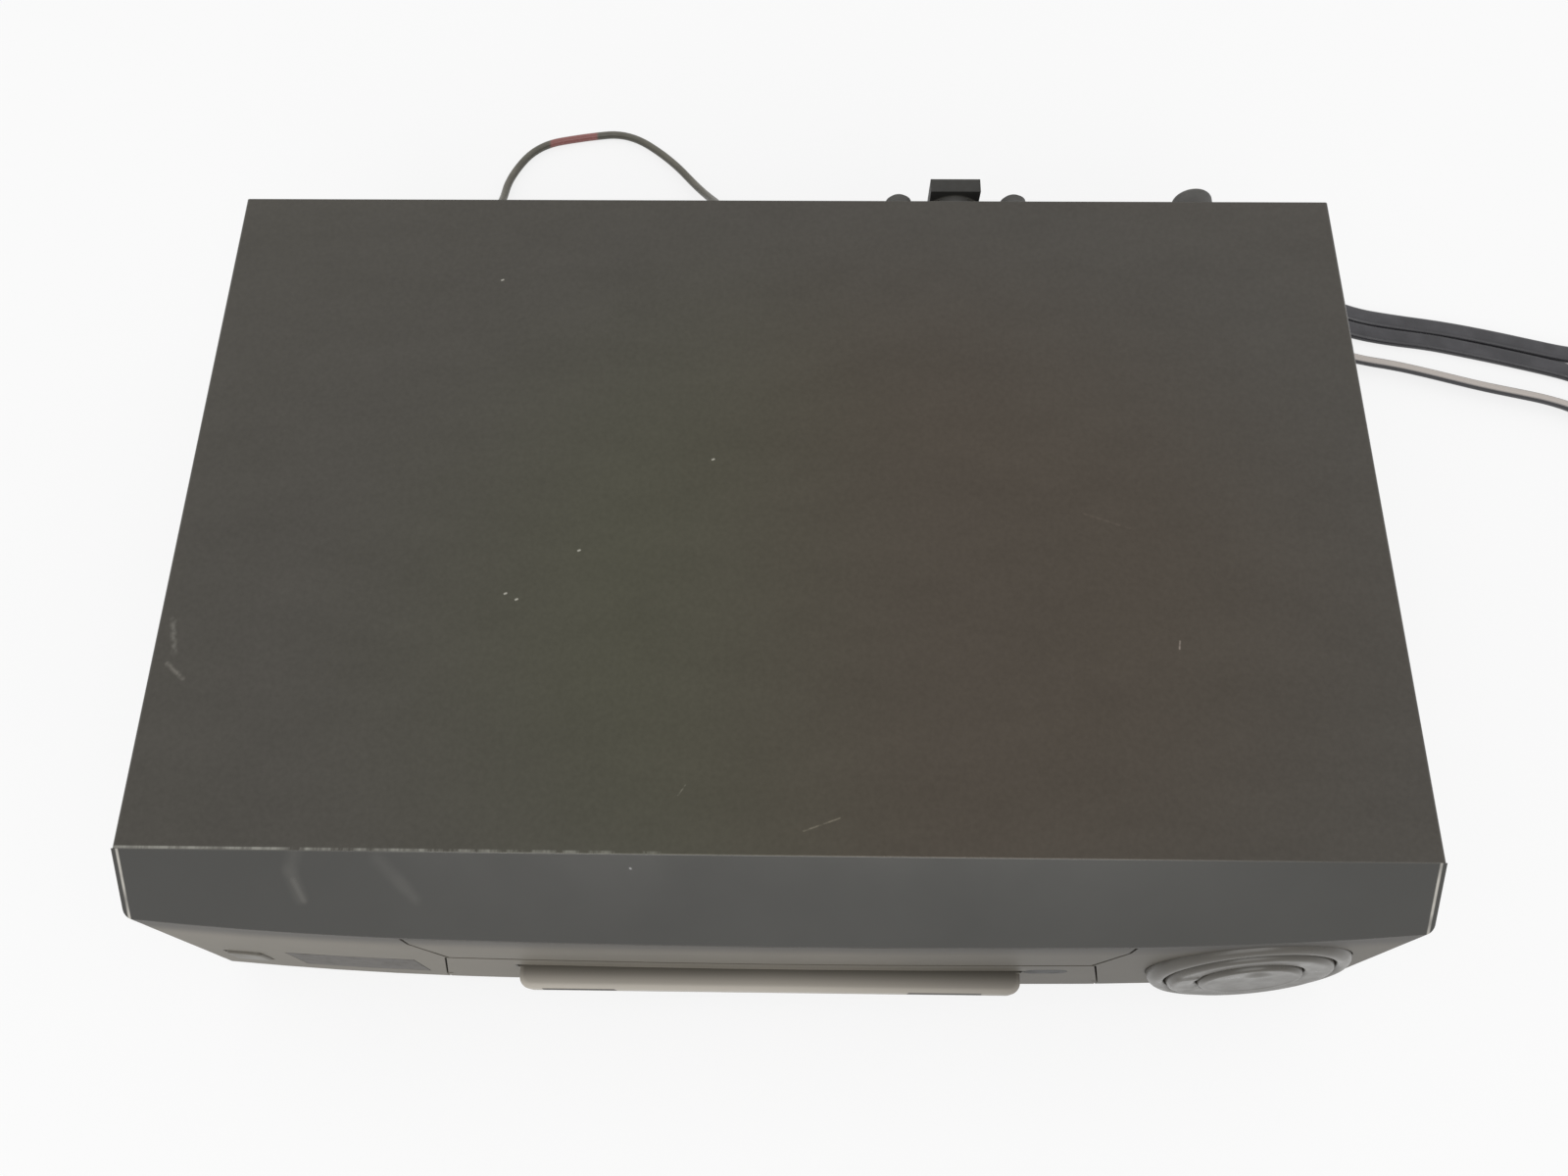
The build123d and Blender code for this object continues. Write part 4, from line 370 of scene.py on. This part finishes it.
def jack_shell():
    """Nickel jack barrels, each with a coloured collar at its foot, on a black housing."""
    f = Finish("jack_shell", 0.3)
    x, y, z = (f.axis(i) for i in range(3))
    foot_y = rear_y - 0.1
    collar = f.between(y, foot_y * MM, (foot_y + 3.6) * MM, 0.1 * MM)
    front_collar = f.math("LESS_THAN", y, -100 * MM)
    yellow, white, red = (0.55, 0.36, 0.02), (0.62, 0.6, 0.55), (0.36, 0.02, 0.018)
    hue = f.mix(f.between(x, -136 * MM, -100 * MM, 1 * MM), yellow, red)
    hue = f.mix(f.between(x, -16 * MM, 60 * MM, 1 * MM), hue, white)
    hue = f.mix(f.math("GREATER_THAN", x, 76 * MM), hue, red)
    body = f.math("MULTIPLY", f.math("LESS_THAN", y, foot_y * MM), f.math("GREATER_THAN", y, -100 * MM))
    metal = f.math("SUBTRACT", 1.0, f.math("MAXIMUM", body, f.math("MAXIMUM", collar, front_collar)))
    cloud = f.noise(3, 3)
    base = f.mix(cloud, (0.5, 0.48, 0.43), (0.62, 0.6, 0.54))
    base = f.mix(f.math("MAXIMUM", collar, front_collar), base, hue)
    base = f.mix(body, base, f.mix(cloud, (0.012, 0.012, 0.012), (0.02, 0.02, 0.02)))
    f.colour(base)
    f.feed(f.shader.inputs["Metallic"], metal)
    f.roughness(f.ramp(cloud, (0.3, 0.24), (0.7, 0.4)))
    f.relief(f.noise(0.5, 2), 0.01, 0.2)
    return f.done(0.2)


def smoked_window():
    """Dark acrylic rubbed dull: brownish over the display, near black over the sensor at the right."""
    f = Finish("smoked_window", 0.5, IOR=1.3)
    shade = f.mix(f.noise(25, 2), (0.05, 0.044, 0.036), (0.062, 0.055, 0.045))
    f.colour(f.mix(f.math("GREATER_THAN", f.axis(0), 0.0), shade, (0.012, 0.011, 0.01)))
    f.roughness(f.ramp(f.noise(5, 4, 0.7), (0.45, 0.46), (0.75, 0.58)))
    f.relief(f.noise(20, 2), 0.05, 0.3)
    return f.done(0.3)


def lead_sleeve(name, low, high, band=None, edge=None):
    """PVC lead, dusty along its upper side, with a coloured band, or a painted highlight: a pale line along its
    top where it lies on its edge.
    """
    f = Finish(name, 0.45)
    up = f.ramp(f.axis(2, f.node("ShaderNodeNewGeometry").outputs["Normal"]), (0.55, 0.0), (1.0, 1.0))
    dust = f.math("MULTIPLY", up, f.ramp(f.noise(9, 3), (0.35, 0.2), (0.7, 0.7)))
    base = f.mix(f.noise(5, 3), low, high)
    base = f.mix(f.math("MULTIPLY", dust, 0.6), base, tuple(min(c * 2.4 + 0.01, 1) for c in high))
    if band:
        start, end, shade = band
        base = f.mix(f.between(f.axis(0), start * MM, end * MM, 1.2 * MM), base, shade)
    if edge:
        # Painted highlight: a pale line along the top of the last run, where the lead stands on its edge.
        on_last_run = f.between(f.axis(0), 226 * MM, 327 * MM, 3 * MM)
        top_highlight_band = f.between(f.axis(2), 6.15 * MM, 8 * MM, 0.5 * MM)
        base = f.mix(f.math("MULTIPLY", on_last_run, top_highlight_band), base, edge)
    f.colour(base)
    f.roughness(f.ramp(f.noise(3, 3), (0.3, 0.24), (0.7, 0.4)))
    f.relief(f.noise(0.6, 2), 0.02, 0.12)
    return f.done()


def aerial_plastic():
    """Black plastic of the aerial block, scuffed grey, with a pale crescent low on its inner face."""
    f = Finish("aerial_plastic", 0.4)
    x, y, z = (f.axis(i) for i in range(3))
    base = f.mix(f.noise(4, 3), (0.028, 0.027, 0.024), (0.045, 0.043, 0.038))
    from_middle = f.math("SUBTRACT", x, block_x * MM)
    rim = f.math("ADD", z, f.math("MULTIPLY", f.math("MULTIPLY", from_middle, from_middle), 50.0))
    crescent = f.math("MULTIPLY", f.between(rim, 72 * MM, 82.2 * MM, 0.8 * MM),
                      f.math("LESS_THAN", y, 134.8 * MM))
    f.colour(f.mix(crescent, base, (0.2, 0.19, 0.165)))
    f.roughness(f.ramp(f.noise(2, 3), (0.3, 0.5), (0.7, 0.7)))
    f.relief(f.noise(0.8, 2), 0.03, 0.2)
    return f.done()


finishes = {
    "cover_paint": cover_paint(),
    "fascia_plastic": fascia_plastic(),
    "key_plastic": moulded("key_plastic", (0.105, 0.095, 0.076), (0.122, 0.11, 0.09), 0.42,
                           worn=(0.26, 0.24, 0.21), IOR=1.45),
    "smoked_window": smoked_window(),
    "soft_rubber": moulded("soft_rubber", (0.014, 0.014, 0.014), (0.024, 0.024, 0.023), 0.8, 0.7, 0.06),
    "zinc_steel": sheet_metal("zinc_steel", (0.5, 0.5, 0.47), (0.62, 0.61, 0.56), 0.32, (1, 0.12, 1)),
    "black_steel": sheet_metal("black_steel", (0.014, 0.014, 0.0145), (0.02, 0.02, 0.02), 0.5, metal=0.0,
                               worn=(0.06, 0.06, 0.058)),
    "bright_metal": sheet_metal("bright_metal", (0.52, 0.5, 0.45), (0.66, 0.64, 0.58), 0.28, (0.3, 1, 1),
                                worn=(0.8, 0.78, 0.72)),
    "drum_metal": sheet_metal("drum_metal", (0.72, 0.72, 0.72), (0.82, 0.82, 0.81), 0.16, (0.1, 0.1, 3),
                              blotch_mm=25),
    "black_plastic": moulded("black_plastic", (0.016, 0.016, 0.0165), (0.026, 0.026, 0.026), 0.42,
                             worn=(0.06, 0.06, 0.06)),
    "white_plastic": moulded("white_plastic", (0.66, 0.64, 0.58), (0.76, 0.74, 0.68), 0.38, 0.8, 0.02),
    "circuit_board": circuit_board(),
    "dial_plastic": moulded("dial_plastic", (0.062, 0.056, 0.045), (0.074, 0.067, 0.055), 0.3, 0.5, 0.015,
                            worn=(0.15, 0.14, 0.12), IOR=1.6),
    "jack_shell": jack_shell(),
    "aged_metal": sheet_metal("aged_metal", (0.1, 0.097, 0.09), (0.15, 0.146, 0.137), 0.6, (0.3, 1, 1),
                              metal=0.3),
    "aerial_plastic": aerial_plastic(),
    "motor_steel": sheet_metal("motor_steel", (0.3, 0.29, 0.28), (0.4, 0.39, 0.37), 0.4, (1, 1, 6)),
    "lead_sleeve": lead_sleeve("lead_sleeve", (0.03, 0.029, 0.032), (0.042, 0.041, 0.045),
                               edge=(0.5, 0.455, 0.42)),
    "patch_sleeve": lead_sleeve("patch_sleeve", (0.085, 0.08, 0.062), (0.11, 0.103, 0.082),
                                (-108.6, -86.5, (0.3, 0.12, 0.11))),
}

for part in frame["record"]["subparts"]:
    piece = nodes[part["node"]]
    piece.data.materials.clear()
    piece.data.materials.append(finishes[part["material_slot"]])
nodes["aerial_sockets"].data.materials[0] = finishes["aged_metal"]
nodes["aerial_block"].data.materials[0] = finishes["aerial_plastic"]
nodes["av_jacks"].data.materials[0] = finishes["jack_shell"]


# ---------------------------------------------------------------- pieces
def add_curve(name, points_mm, finish, body, profile=None, radius_mm=None):
    """One open NURBS spline through the route's points."""
    data = bpy.data.curves.new(name, "CURVE")
    data.dimensions = "3D"
    data.twist_mode = "Z_UP"
    data.resolution_u = 8
    data.use_fill_caps = True
    if profile:
        data.bevel_mode = "OBJECT"
        data.bevel_object = profile
    else:
        data.bevel_depth = radius_mm * MM
        data.bevel_resolution = 5
    spline = data.splines.new("NURBS")
    spline.points.add(len(points_mm) - 1)
    for point, at in zip(spline.points, points_mm):
        point.co = (*(Vector(at) * MM), 1.0)
        point.radius = MM if profile else 1.0
    spline.order_u = 3
    spline.use_endpoint_u = True
    piece = bpy.data.objects.new(name, data)
    bpy.context.scene.collection.objects.link(piece)
    data.materials.append(finishes[finish])
    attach(piece, body)
    return piece


def twin_profile():
    """Section of a flat twin lead in millimetres: two rounds side by side with a shallow groove between."""
    width, thick, steps = lead_width, lead_thickness, 40
    data = bpy.data.curves.new("twin_profile", "CURVE")
    data.dimensions = "2D"
    spline = data.splines.new("POLY")
    spline.points.add(steps - 1)
    spread = (width - thick) / 2
    for i, point in enumerate(spline.points):
        angle = 2 * math.pi * i / steps
        side = 1 if math.cos(angle) >= 0 else -1
        x = side * spread + thick / 2 * math.cos(angle)
        y = thick / 2 * math.sin(angle)
        pinch = 1 - 0.36 * math.exp(-((x / 0.9) ** 2))
        point.co = (x, y * pinch, 0, 1)
    spline.use_cyclic_u = True
    return bpy.data.objects.new("twin_profile", data)


def add_mesh(name, points_mm, faces, finish, body, smooth=True):
    """A piece of its own mesh, points in millimetres."""
    data = bpy.data.meshes.new(name)
    data.from_pydata([tuple(Vector(p) * MM) for p in points_mm], [], faces)
    data.update()
    if smooth:
        data.shade_smooth()
        data.set_sharp_from_angle(angle=math.radians(50))
    piece = bpy.data.objects.new(name, data)
    bpy.context.scene.collection.objects.link(piece)
    data.materials.append(finishes[finish])
    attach(piece, body)
    return piece


def rings(rows, closed_start=False, closed_end=False):
    """Faces between rows of points of equal length, each row a closed ring."""
    count = len(rows[0])
    points = [point for row in rows for point in row]
    faces = []
    for row in range(len(rows) - 1):
        for i in range(count):
            j = (i + 1) % count
            faces.append((row * count + i, row * count + j, (row + 1) * count + j, (row + 1) * count + i))
    if closed_start:
        faces.append(tuple(range(count))[::-1])
    if closed_end:
        faces.append(tuple(range((len(rows) - 1) * count, len(rows) * count)))
    return points, faces


dial_centre = Vector((149.0, -131.619, 40.5))
dial_out = Vector((0.0518, -0.9876, 0.1483)).normalized()
dial_right = Vector((math.cos(math.radians(3.0)), math.sin(math.radians(3.0)), 0.0))
dial_up = dial_out.cross(dial_right)


def turned_rows(centre, right, up, profile, raised=None, steps=120):
    """Rings of points about a centre from (radius, height) pairs, with a raised part of its own."""
    out = right.cross(up)
    rows = []
    for radius, height in profile:
        row = []
        for i in range(steps):
            angle = 2 * math.pi * i / steps
            x, y = radius * math.cos(angle), radius * math.sin(angle)
            lift = raised(x, y) if raised else 0.0
            row.append(centre + x * right + y * up + (height + lift) * out)
        rows.append(row)
    return rows


def turned_on_dial(name, profile, body, raised=None):
    points, faces = rings(turned_rows(dial_centre, dial_right, dial_up, profile, raised))
    return add_mesh(name, points, faces, "dial_plastic", body)


def add_turned_set(name, places, profile, finish, body, raised=None, steps=48):
    """Several like turned shapes in one piece; places are (centre, right, up)."""
    points, faces = [], []
    for centre, right, up in places:
        more, loops = rings(turned_rows(Vector(centre), Vector(right), Vector(up), profile, raised, steps),
                            closed_start=True, closed_end=True)
        faces += [tuple(i + len(points) for i in loop) for loop in loops]
        points += more
    return add_mesh(name, points, faces, finish, body)


def smooth_step(value, low, high):
    share = min(max((value - low) / (high - low), 0.0), 1.0)
    return share * share * (3 - 2 * share)


def finger_rest(x, y):
    """Tongue of the outer ring that stands higher, from its left edge to a rounded end."""
    radius = math.hypot(x, y)
    end = smooth_step(8.6 - math.hypot(max(x + 16.5, 0.0), y + 3.0), 0.0, 1.2)
    return 0.6 * end * smooth_step(radius, 16.8, 17.8) * smooth_step(25.0 - radius, 0.0, 1.0)


def thumb_dimple(x, y):
    share = math.hypot(x, y - 8.5) / 5.5
    return -0.95 * (1 - share * share) ** 2 if share < 1 else 0.0


bezel = turned_on_dial("dial_bezel_ring", (
    (25.9, -8.0), (25.9, 0.0), (26.2, 0.6), (26.8, 1.05), (27.6, 1.3), (28.4, 1.3), (29.2, 1.05), (30.0, 0.5),
    (30.6, -0.2), (31.0, -1.2), (31.0, -3.35)), "case")
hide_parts("dial_bezel")
shuttle = turned_on_dial("shuttle_dial", (
    (16.4, -6.0), (16.4, 1.1), (16.7, 1.6), (17.2, 1.9), (18.0, 2.0), (19.5, 2.05), (21.0, 2.15), (22.5, 2.3),
    (23.5, 2.38), (24.3, 2.25), (24.9, 1.85), (25.3, 1.3), (25.5, 0.4), (25.5, -7.0)),
    "shuttle", finger_rest)
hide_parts("shuttle_ring")
jog_face = tuple((0.001 + 0.7 * i, 2.6 + 0.0022 * (0.7 * i) ** 2) for i in range(20))
jog_rim = ((13.9, 3.1), (14.5, 3.18), (15.1, 3.0), (15.6, 2.6), (15.9, 1.9), (16.0, 1.0), (16.0, -5.0))
jog = turned_on_dial("jog_knob", jog_face + jog_rim, "jog", thumb_dimple)
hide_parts("jog_dial")


def add_power_key():
    """Low square key with rounded corners, its face following the fascia."""
    x0, z0, half, corner, back_y, steps = -174.0, 27.0, 5.9, 2.2, -118.0, 48
    face_y, face_sag, face_lean = -130.0, 0.067, 0.09
    rows = []
    for inset, recess in ((0.0, None), (0.0, 0.9), (0.12, 0.35), (0.5, 0.08), (1.1, 0.0), (4.4, 0.0)):
        reach = half - inset
        radius = max(corner - inset, 0.4)
        row = []
        for i in range(steps):
            angle = 2 * math.pi * i / steps
            sx, sz = math.copysign(1, math.cos(angle)), math.copysign(1, math.sin(angle))
            x = sx * (reach - radius) + radius * math.cos(angle)
            z = sz * (reach - radius) + radius * math.sin(angle)
            face = face_y - face_sag * x + face_lean * z
            row.append((x0 + x, back_y if recess is None else face + recess, z0 + z))
        rows.append(row)
    points, faces = rings(rows, closed_end=True)
    key = add_mesh("power_key_cap", points, [face[::-1] for face in faces], "key_plastic", "power_key")
    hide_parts("power_key")


add_power_key()

x_axis, y_axis, z_axis = (1, 0, 0), (0, 1, 0), (0, 0, 1)
toward_rear = ((-1, 0, 0), z_axis)


def cross_recess(x, y):
    """Cross slot in a screw's head."""
    slot = max(smooth_step(0.5 - abs(x), 0.0, 0.15), smooth_step(0.5 - abs(y), 0.0, 0.15))
    return -0.9 * slot * smooth_step(2.3 - math.hypot(x, y), 0.0, 0.5)


head_dome = tuple((0.001 + 0.15 * i, 1.78 - 0.045 * (0.15 * i) ** 2) for i in range(20))
head_rim = ((3.2, 1.15), (3.5, 0.85), (3.75, 0.45), (3.8, 0.1), (3.8, 0.0), (1.4, -0.05), (1.4, -5.0))
head = (head_dome + head_rim)[::-1]
side_screw_z = 21
screw_places = [((x, rear_y, z), *toward_rear) for x, z in ((-170, 80), (0, 84), (174, 20))]
screw_places += [((-half_width, y, side_screw_z), (0, -1, 0), z_axis) for y in (-60, 60)]
screw_places += [((half_width, y, side_screw_z), y_axis, z_axis) for y in (-60, 60)]
screws = add_turned_set("screw_heads", screw_places, head, "zinc_steel", "case", cross_recess)
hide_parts("case_screws")

foot_height = 7.0
foot = ((9.97, 0.0), (9.8, 3.0), (9.4, 6.2), (8.9, 6.8), (8.2, foot_height), (3.6, 6.95), (3.2, 6.6),
        (3.2, 4.0))
foot_places = [((x, y, foot_height), x_axis, (0, -1, 0)) for x in (-156, 156) for y in (-89.4, 94.1)]
feet = add_turned_set("round_feet", foot_places, foot, "soft_rubber", "case")
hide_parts("rubber_feet")

relief_ribs = [(5.0, -5.0), (5.0, 0.0), (6.5, 0.05)]
for rib in range(8):
    start, radius = 0.4 + 3.6 * rib, 6.5 - 0.31 * rib
    relief_ribs += [(radius, start), (radius, start + 2.2), (radius - 0.9, start + 2.5),
                    (radius - 0.95, start + 3.3)]
relief_ribs += [(3.95, 29.4), (3.9, 29.95)]
relief = add_turned_set("ribbed_relief", [((130, rear_y, 24), *toward_rear)], tuple(relief_ribs),
                        "soft_rubber", "case")
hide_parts("strain_relief")

plug_ribs = [(4.25, 0.0), (4.9, 0.1), (5.2, 0.5)]
for rib in range(6):
    start = 1.0 + 2.1 * rib
    plug_ribs += [(5.2, start), (5.2, start + 1.1), (4.85, start + 1.35), (4.85, start + 1.85)]
plug_ribs += [(5.2, 13.8), (4.6, 14.4), (4.2, 14.6), (3.2, 19.0), (2.4, 24.0)]
patch_plugs = add_turned_set("ribbed_patch_plugs",
                             [((x, rear_y + 2.0, 32), *toward_rear) for x in (-128, -24)],
                             tuple(plug_ribs), "black_plastic", "case")
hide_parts("patch_plugs")


key_z, mark_front_y, mark_back_y = 27.0, -127.06, -126.8


def add_symbol(key, x, outlines):
    """Small raised marks on a key's face, each a flat polygon of (x, z) about its middle."""
    points, faces = [], []
    for outline in outlines:
        first = len(points)
        count = len(outline)
        for y in mark_front_y, mark_back_y:
            points += [(x + px, y, key_z + pz) for px, pz in outline]
        faces.append(tuple(range(first, first + count)))
        faces.append(tuple(range(first + 2 * count - 1, first + count - 1, -1)))
        faces += [(first + i, first + count + i, first + count + (i + 1) % count, first + (i + 1) % count)
                  for i in range(count)]
    add_mesh(key + "_mark", points, faces, "white_plastic", key, smooth=False)


def triangle(x, turn=1):
    return [(x - 1.1 * turn, -1.3), (x + 1.1 * turn, 0.0), (x - 1.1 * turn, 1.3)]


add_symbol("eject_key", -92.0, [[(-1.5, -0.2), (1.5, -0.2), (0.0, 1.4)],
                                [(-1.5, -1.3), (1.5, -1.3), (1.5, -0.7), (-1.5, -0.7)]])
add_symbol("rewind_key", -68.0, [triangle(-1.15, -1), triangle(1.15, -1)])
add_symbol("play_key", -44.0, [triangle(0.0)])
add_symbol("forward_key", -20.0, [triangle(-1.15), triangle(1.15)])
add_symbol("stop_key", 4.0, [[(-1.2, -1.2), (1.2, -1.2), (1.2, 1.2), (-1.2, 1.2)]])


def level_bend(centre, radius, start, end, steps):
    """Points along a level bend of a lead, from one angle to another about its centre."""
    turns = [math.radians(start + (end - start) * step / steps) for step in range(steps + 1)]
    return [(centre[0] + radius * math.cos(turn), centre[1] + radius * math.sin(turn)) for turn in turns]


lead_width, lead_thickness = 7.4, 3.9
low_z = lead_thickness / 2 + 0.05
coil_centre, coil_radius, coil_pitch, coil_steps = (366.0, 8.0), 45.7, 7.5, 16
mains_exit = (130.0, 151.1, 24.0)
mains_drop = ((-59.7, 162.5, 22.6), (-57.0, 172.0, 18.6), (-50.0, 179.0, 12.8), (-38.0, 184.0, 7.4),
              (-21.0, 184.5, 3.6))
mains_out = [(-5.0, 178.0), (12.0, 162.5), (29.0, 147.5), (48.0, 137.4), (66.0, 133.8), (84.5, 130.9),
             (102.6, 126.9), (120.5, 122.2), (135.5, 118.3), (146.0, 117.9), (156.5, 120.4), (165.8, 126.6)]
mains_far_loop = level_bend((184.0, 103.2), 30.0, 106, -141, 11)
mains_back = [(155.2, 91.8), (150.3, 99.8), (143.0, 106.0), (134.0, 110.2), (125.5, 112.8), (107.5, 117.7),
              (91.6, 121.6), (78.5, 124.6), (63.8, 126.6), (50.6, 129.3), (38.0, 134.0), (25.0, 142.0),
              (12.0, 151.5), (-1.5, 161.5), (-17.0, 170.5), (-35.0, 177.5), (-54.0, 182.5), (-72.0, 186.0)]
mains_near_loop = level_bend((-92.0, 157.5), 30.4, 90, 270, 6)
# The last run turns up past its edge, leans so beside the case, and turns flat again: out, y, tilt.
mains_last = [(-70.0, 127.6, 0), (-45.0, 128.6, 0), (-20.0, 129.0, 0), (0.0, 128.5, 20), (17.0, 124.5, 65),
              (33.0, 118.9, 105), (48.0, 114.8, 127), (62.0, 112.2, 127), (74.0, 109.0, 127),
              (85.5, 105.6, 127), (97.0, 102.3, 127), (109.0, 99.5, 127), (121.0, 96.6, 127),
              (132.0, 92.4, 127), (142.0, 85.5, 105), (151.0, 75.4, 65), (160.0, 66.3, 20),
              (171.0, 59.2, 0), (183.0, 54.5, 0)]


def edge_z(tilt):
    """Height of the flat lead's middle when it rests on the floor at this tilt."""
    side = (lead_width - lead_thickness) / 2
    return side * abs(math.sin(math.radians(tilt))) + low_z + (floor_lift if tilt else 0.0)


def coil_turns():
    """Flat clockwise spiral inwards from the end of the last run."""
    start, turned = 65.4, 605.4
    count = int(coil_steps * turned / 360)
    shrink = (3 + math.cos(2 * math.pi / coil_steps)) / 4
    points = []
    for step in range(count + 1):
        turn = turned / 360 * step / count
        angle = math.radians(start) - 2 * math.pi * turn
        radius = (coil_radius - coil_pitch * turn) / shrink
        points.append((coil_centre[0] + radius * math.cos(angle), coil_centre[1] + radius * math.sin(angle),
                       low_z + floor_lift))
    return points


mains_points = [(*mains_exit, 0)]
mains_points += [(half_width + out, y, z, 0) for out, y, z in mains_drop]
mains_floor = mains_out + mains_far_loop + mains_back + mains_near_loop
mains_points += [(half_width + out, y, low_z, 0) for out, y in mains_floor]
mains_points += [(half_width + out, y, edge_z(tilt), tilt) for out, y, tilt in mains_last]
mains_points += [(*point, 0) for point in coil_turns()]
# Up out of the coil, over it and over the last run, and down into the plug's tail.
mains_points += [(x, y, z, 0) for x, y, z in (
    (333.2, 21.0, 4.5), (335.2, 34.0, 7.8), (341.0, 49.0, 9.6), (352.0, 61.0, 10.8), (368.0, 67.0, 11.6),
    (385.0, 63.5, 12.0), (398.0, 53.0, 12.0), (404.3, 42.0, 12.0), (404.3, 32.0, 12.0))]
mains_lead = add_curve("mains_lead_cord", [point[:3] for point in mains_points], "lead_sleeve", "case",
                       twin_profile())
for point, (*_, tilt) in zip(mains_lead.data.splines[0].points, mains_points):
    point.tilt = math.radians(tilt)
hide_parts("mains_lead", "mains_coil")

patch_diameter = 3.3
patch_low_z = patch_diameter / 2 + 0.05
patch_route = [
    (-128.0, 147.1, 32.0),
    (-128.6, 160.0, 30.5),
    (-127.0, 175.0, 20.0),
    (-125.8, 190.0, 6.0),
    (-125.2, 208.5, patch_low_z),
    (-114.0, 226.3, patch_low_z),
    (-93.0, 231.0, patch_low_z),
    (-73.0, 233.5, patch_low_z),
    (-53.5, 219.0, patch_low_z),
    (-39.0, 200.0, 3.4),
    (-29.5, 184.0, 14.0),
    (-25.0, 169.0, 26.0),
    (-24.0, 157.0, 31.2),
    (-24.0, 147.1, 32.0),
]
patch_lead = add_curve("patch_lead_cord", patch_route, "patch_sleeve", "case", radius_mm=patch_diameter / 2)
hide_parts("patch_lead")


# ---------------------------------------------------------------- floor, light and camera
def add_floor():
    """Pale floor that reads as white and keeps the shadow."""
    mesh = bmesh.new()
    bmesh.ops.create_grid(mesh, x_segments=24, y_segments=24, size=6.0)
    data = bpy.data.meshes.new("floor")
    mesh.to_mesh(data)
    floor = bpy.data.objects.new("floor", data)
    bpy.context.scene.collection.objects.link(floor)
    f = Finish("floor_paper", 0.9)
    f.colour(f.mix(f.noise(60, 3), (0.84, 0.84, 0.84), (0.87, 0.87, 0.87)))
    path = f.node("ShaderNodeLightPath")
    seen = f.math("MAXIMUM", f.math("MAXIMUM", path.outputs["Is Camera Ray"], path.outputs["Is Glossy Ray"]),
                  path.outputs["Is Transmission Ray"])
    white = f.node("ShaderNodeEmission")
    blend = f.node("ShaderNodeMixShader")
    f.feed(blend.inputs[0], f.math("MULTIPLY", seen, 0.8))
    f.feed(blend.inputs[1], f.shader.outputs[0])
    f.feed(blend.inputs[2], white.outputs[0])
    f.feed(f.tree.nodes["Material Output"].inputs["Surface"], blend.outputs[0])
    data.materials.append(f.done())
    floor.location = (0, 0, -0.0002)


# A soft room, even on all sides, and one softbox in front of the case and above it. The two levels are what each
# gives the case's top and front. Together they make about 1, at which a colour renders as it is written.
room_level, softbox_level = 0.8, 0.2
softbox_side, softbox_reach = 1.2, 1.2


def add_world():
    """White all round to the camera, and an even soft room to everything else."""
    world = bpy.data.worlds.new("room")
    bpy.context.scene.world = world
    world.use_nodes = True
    tree = world.node_tree
    seen = tree.nodes.new("ShaderNodeLightPath").outputs["Is Camera Ray"]
    mix = tree.nodes.new("ShaderNodeMix")
    mix.data_type = "RGBA"
    tree.links.new(seen, mix.inputs[0])
    mix.inputs[6].default_value = (room_level, room_level, room_level, 1)
    mix.inputs[7].default_value = (1, 1, 1, 1)
    tree.links.new(mix.outputs[2], tree.nodes["Background"].inputs["Color"])


def add_softbox():
    """A square lamp as far ahead of the case as above it, turned toward it and not seen by the camera itself."""
    distance = math.hypot(softbox_reach, softbox_reach)
    slant = softbox_reach / distance
    glow = softbox_level * math.pi * distance ** 2 / (slant * softbox_side ** 2)
    lamp = bpy.data.lights.new("softbox", "AREA")
    lamp.size = softbox_side
    lamp.energy = glow * math.pi * softbox_side ** 2
    softbox = bpy.data.objects.new("softbox", lamp)
    softbox.location = (0, -softbox_reach, softbox_reach)
    softbox.rotation_euler = (math.acos(slant), 0, 0)
    softbox.visible_camera = False
    bpy.context.scene.collection.objects.link(softbox)


add_floor()
add_world()
add_softbox()


def add_camera():
    data = bpy.data.cameras.new("camera")
    data.lens, data.sensor_width = 28.125, 36.0
    data.clip_start, data.clip_end = 0.01, 50
    camera = bpy.data.objects.new("camera", data)
    bpy.context.scene.collection.objects.link(camera)
    down, yaw, roll = (math.radians(v) for v in (68.77674, 2.33903, -1.72838))
    turn = Matrix.Rotation(yaw, 3, "Z")
    ahead = turn @ Vector((0, math.cos(down), -math.sin(down)))
    up = turn @ Vector((0, math.sin(down), math.cos(down)))
    right = turn @ Vector((1, 0, 0))
    leaning_right = math.cos(roll) * right + math.sin(roll) * up
    leaning_up = -math.sin(roll) * right + math.cos(roll) * up
    camera.matrix_world = Matrix.Translation((0.00745, -0.1604, 0.44592)) @ Matrix(
        (leaning_right, leaning_up, -ahead)).transposed().to_4x4()
    bpy.context.scene.camera = camera


add_camera()
bpy.context.scene.view_settings.view_transform = "Standard"
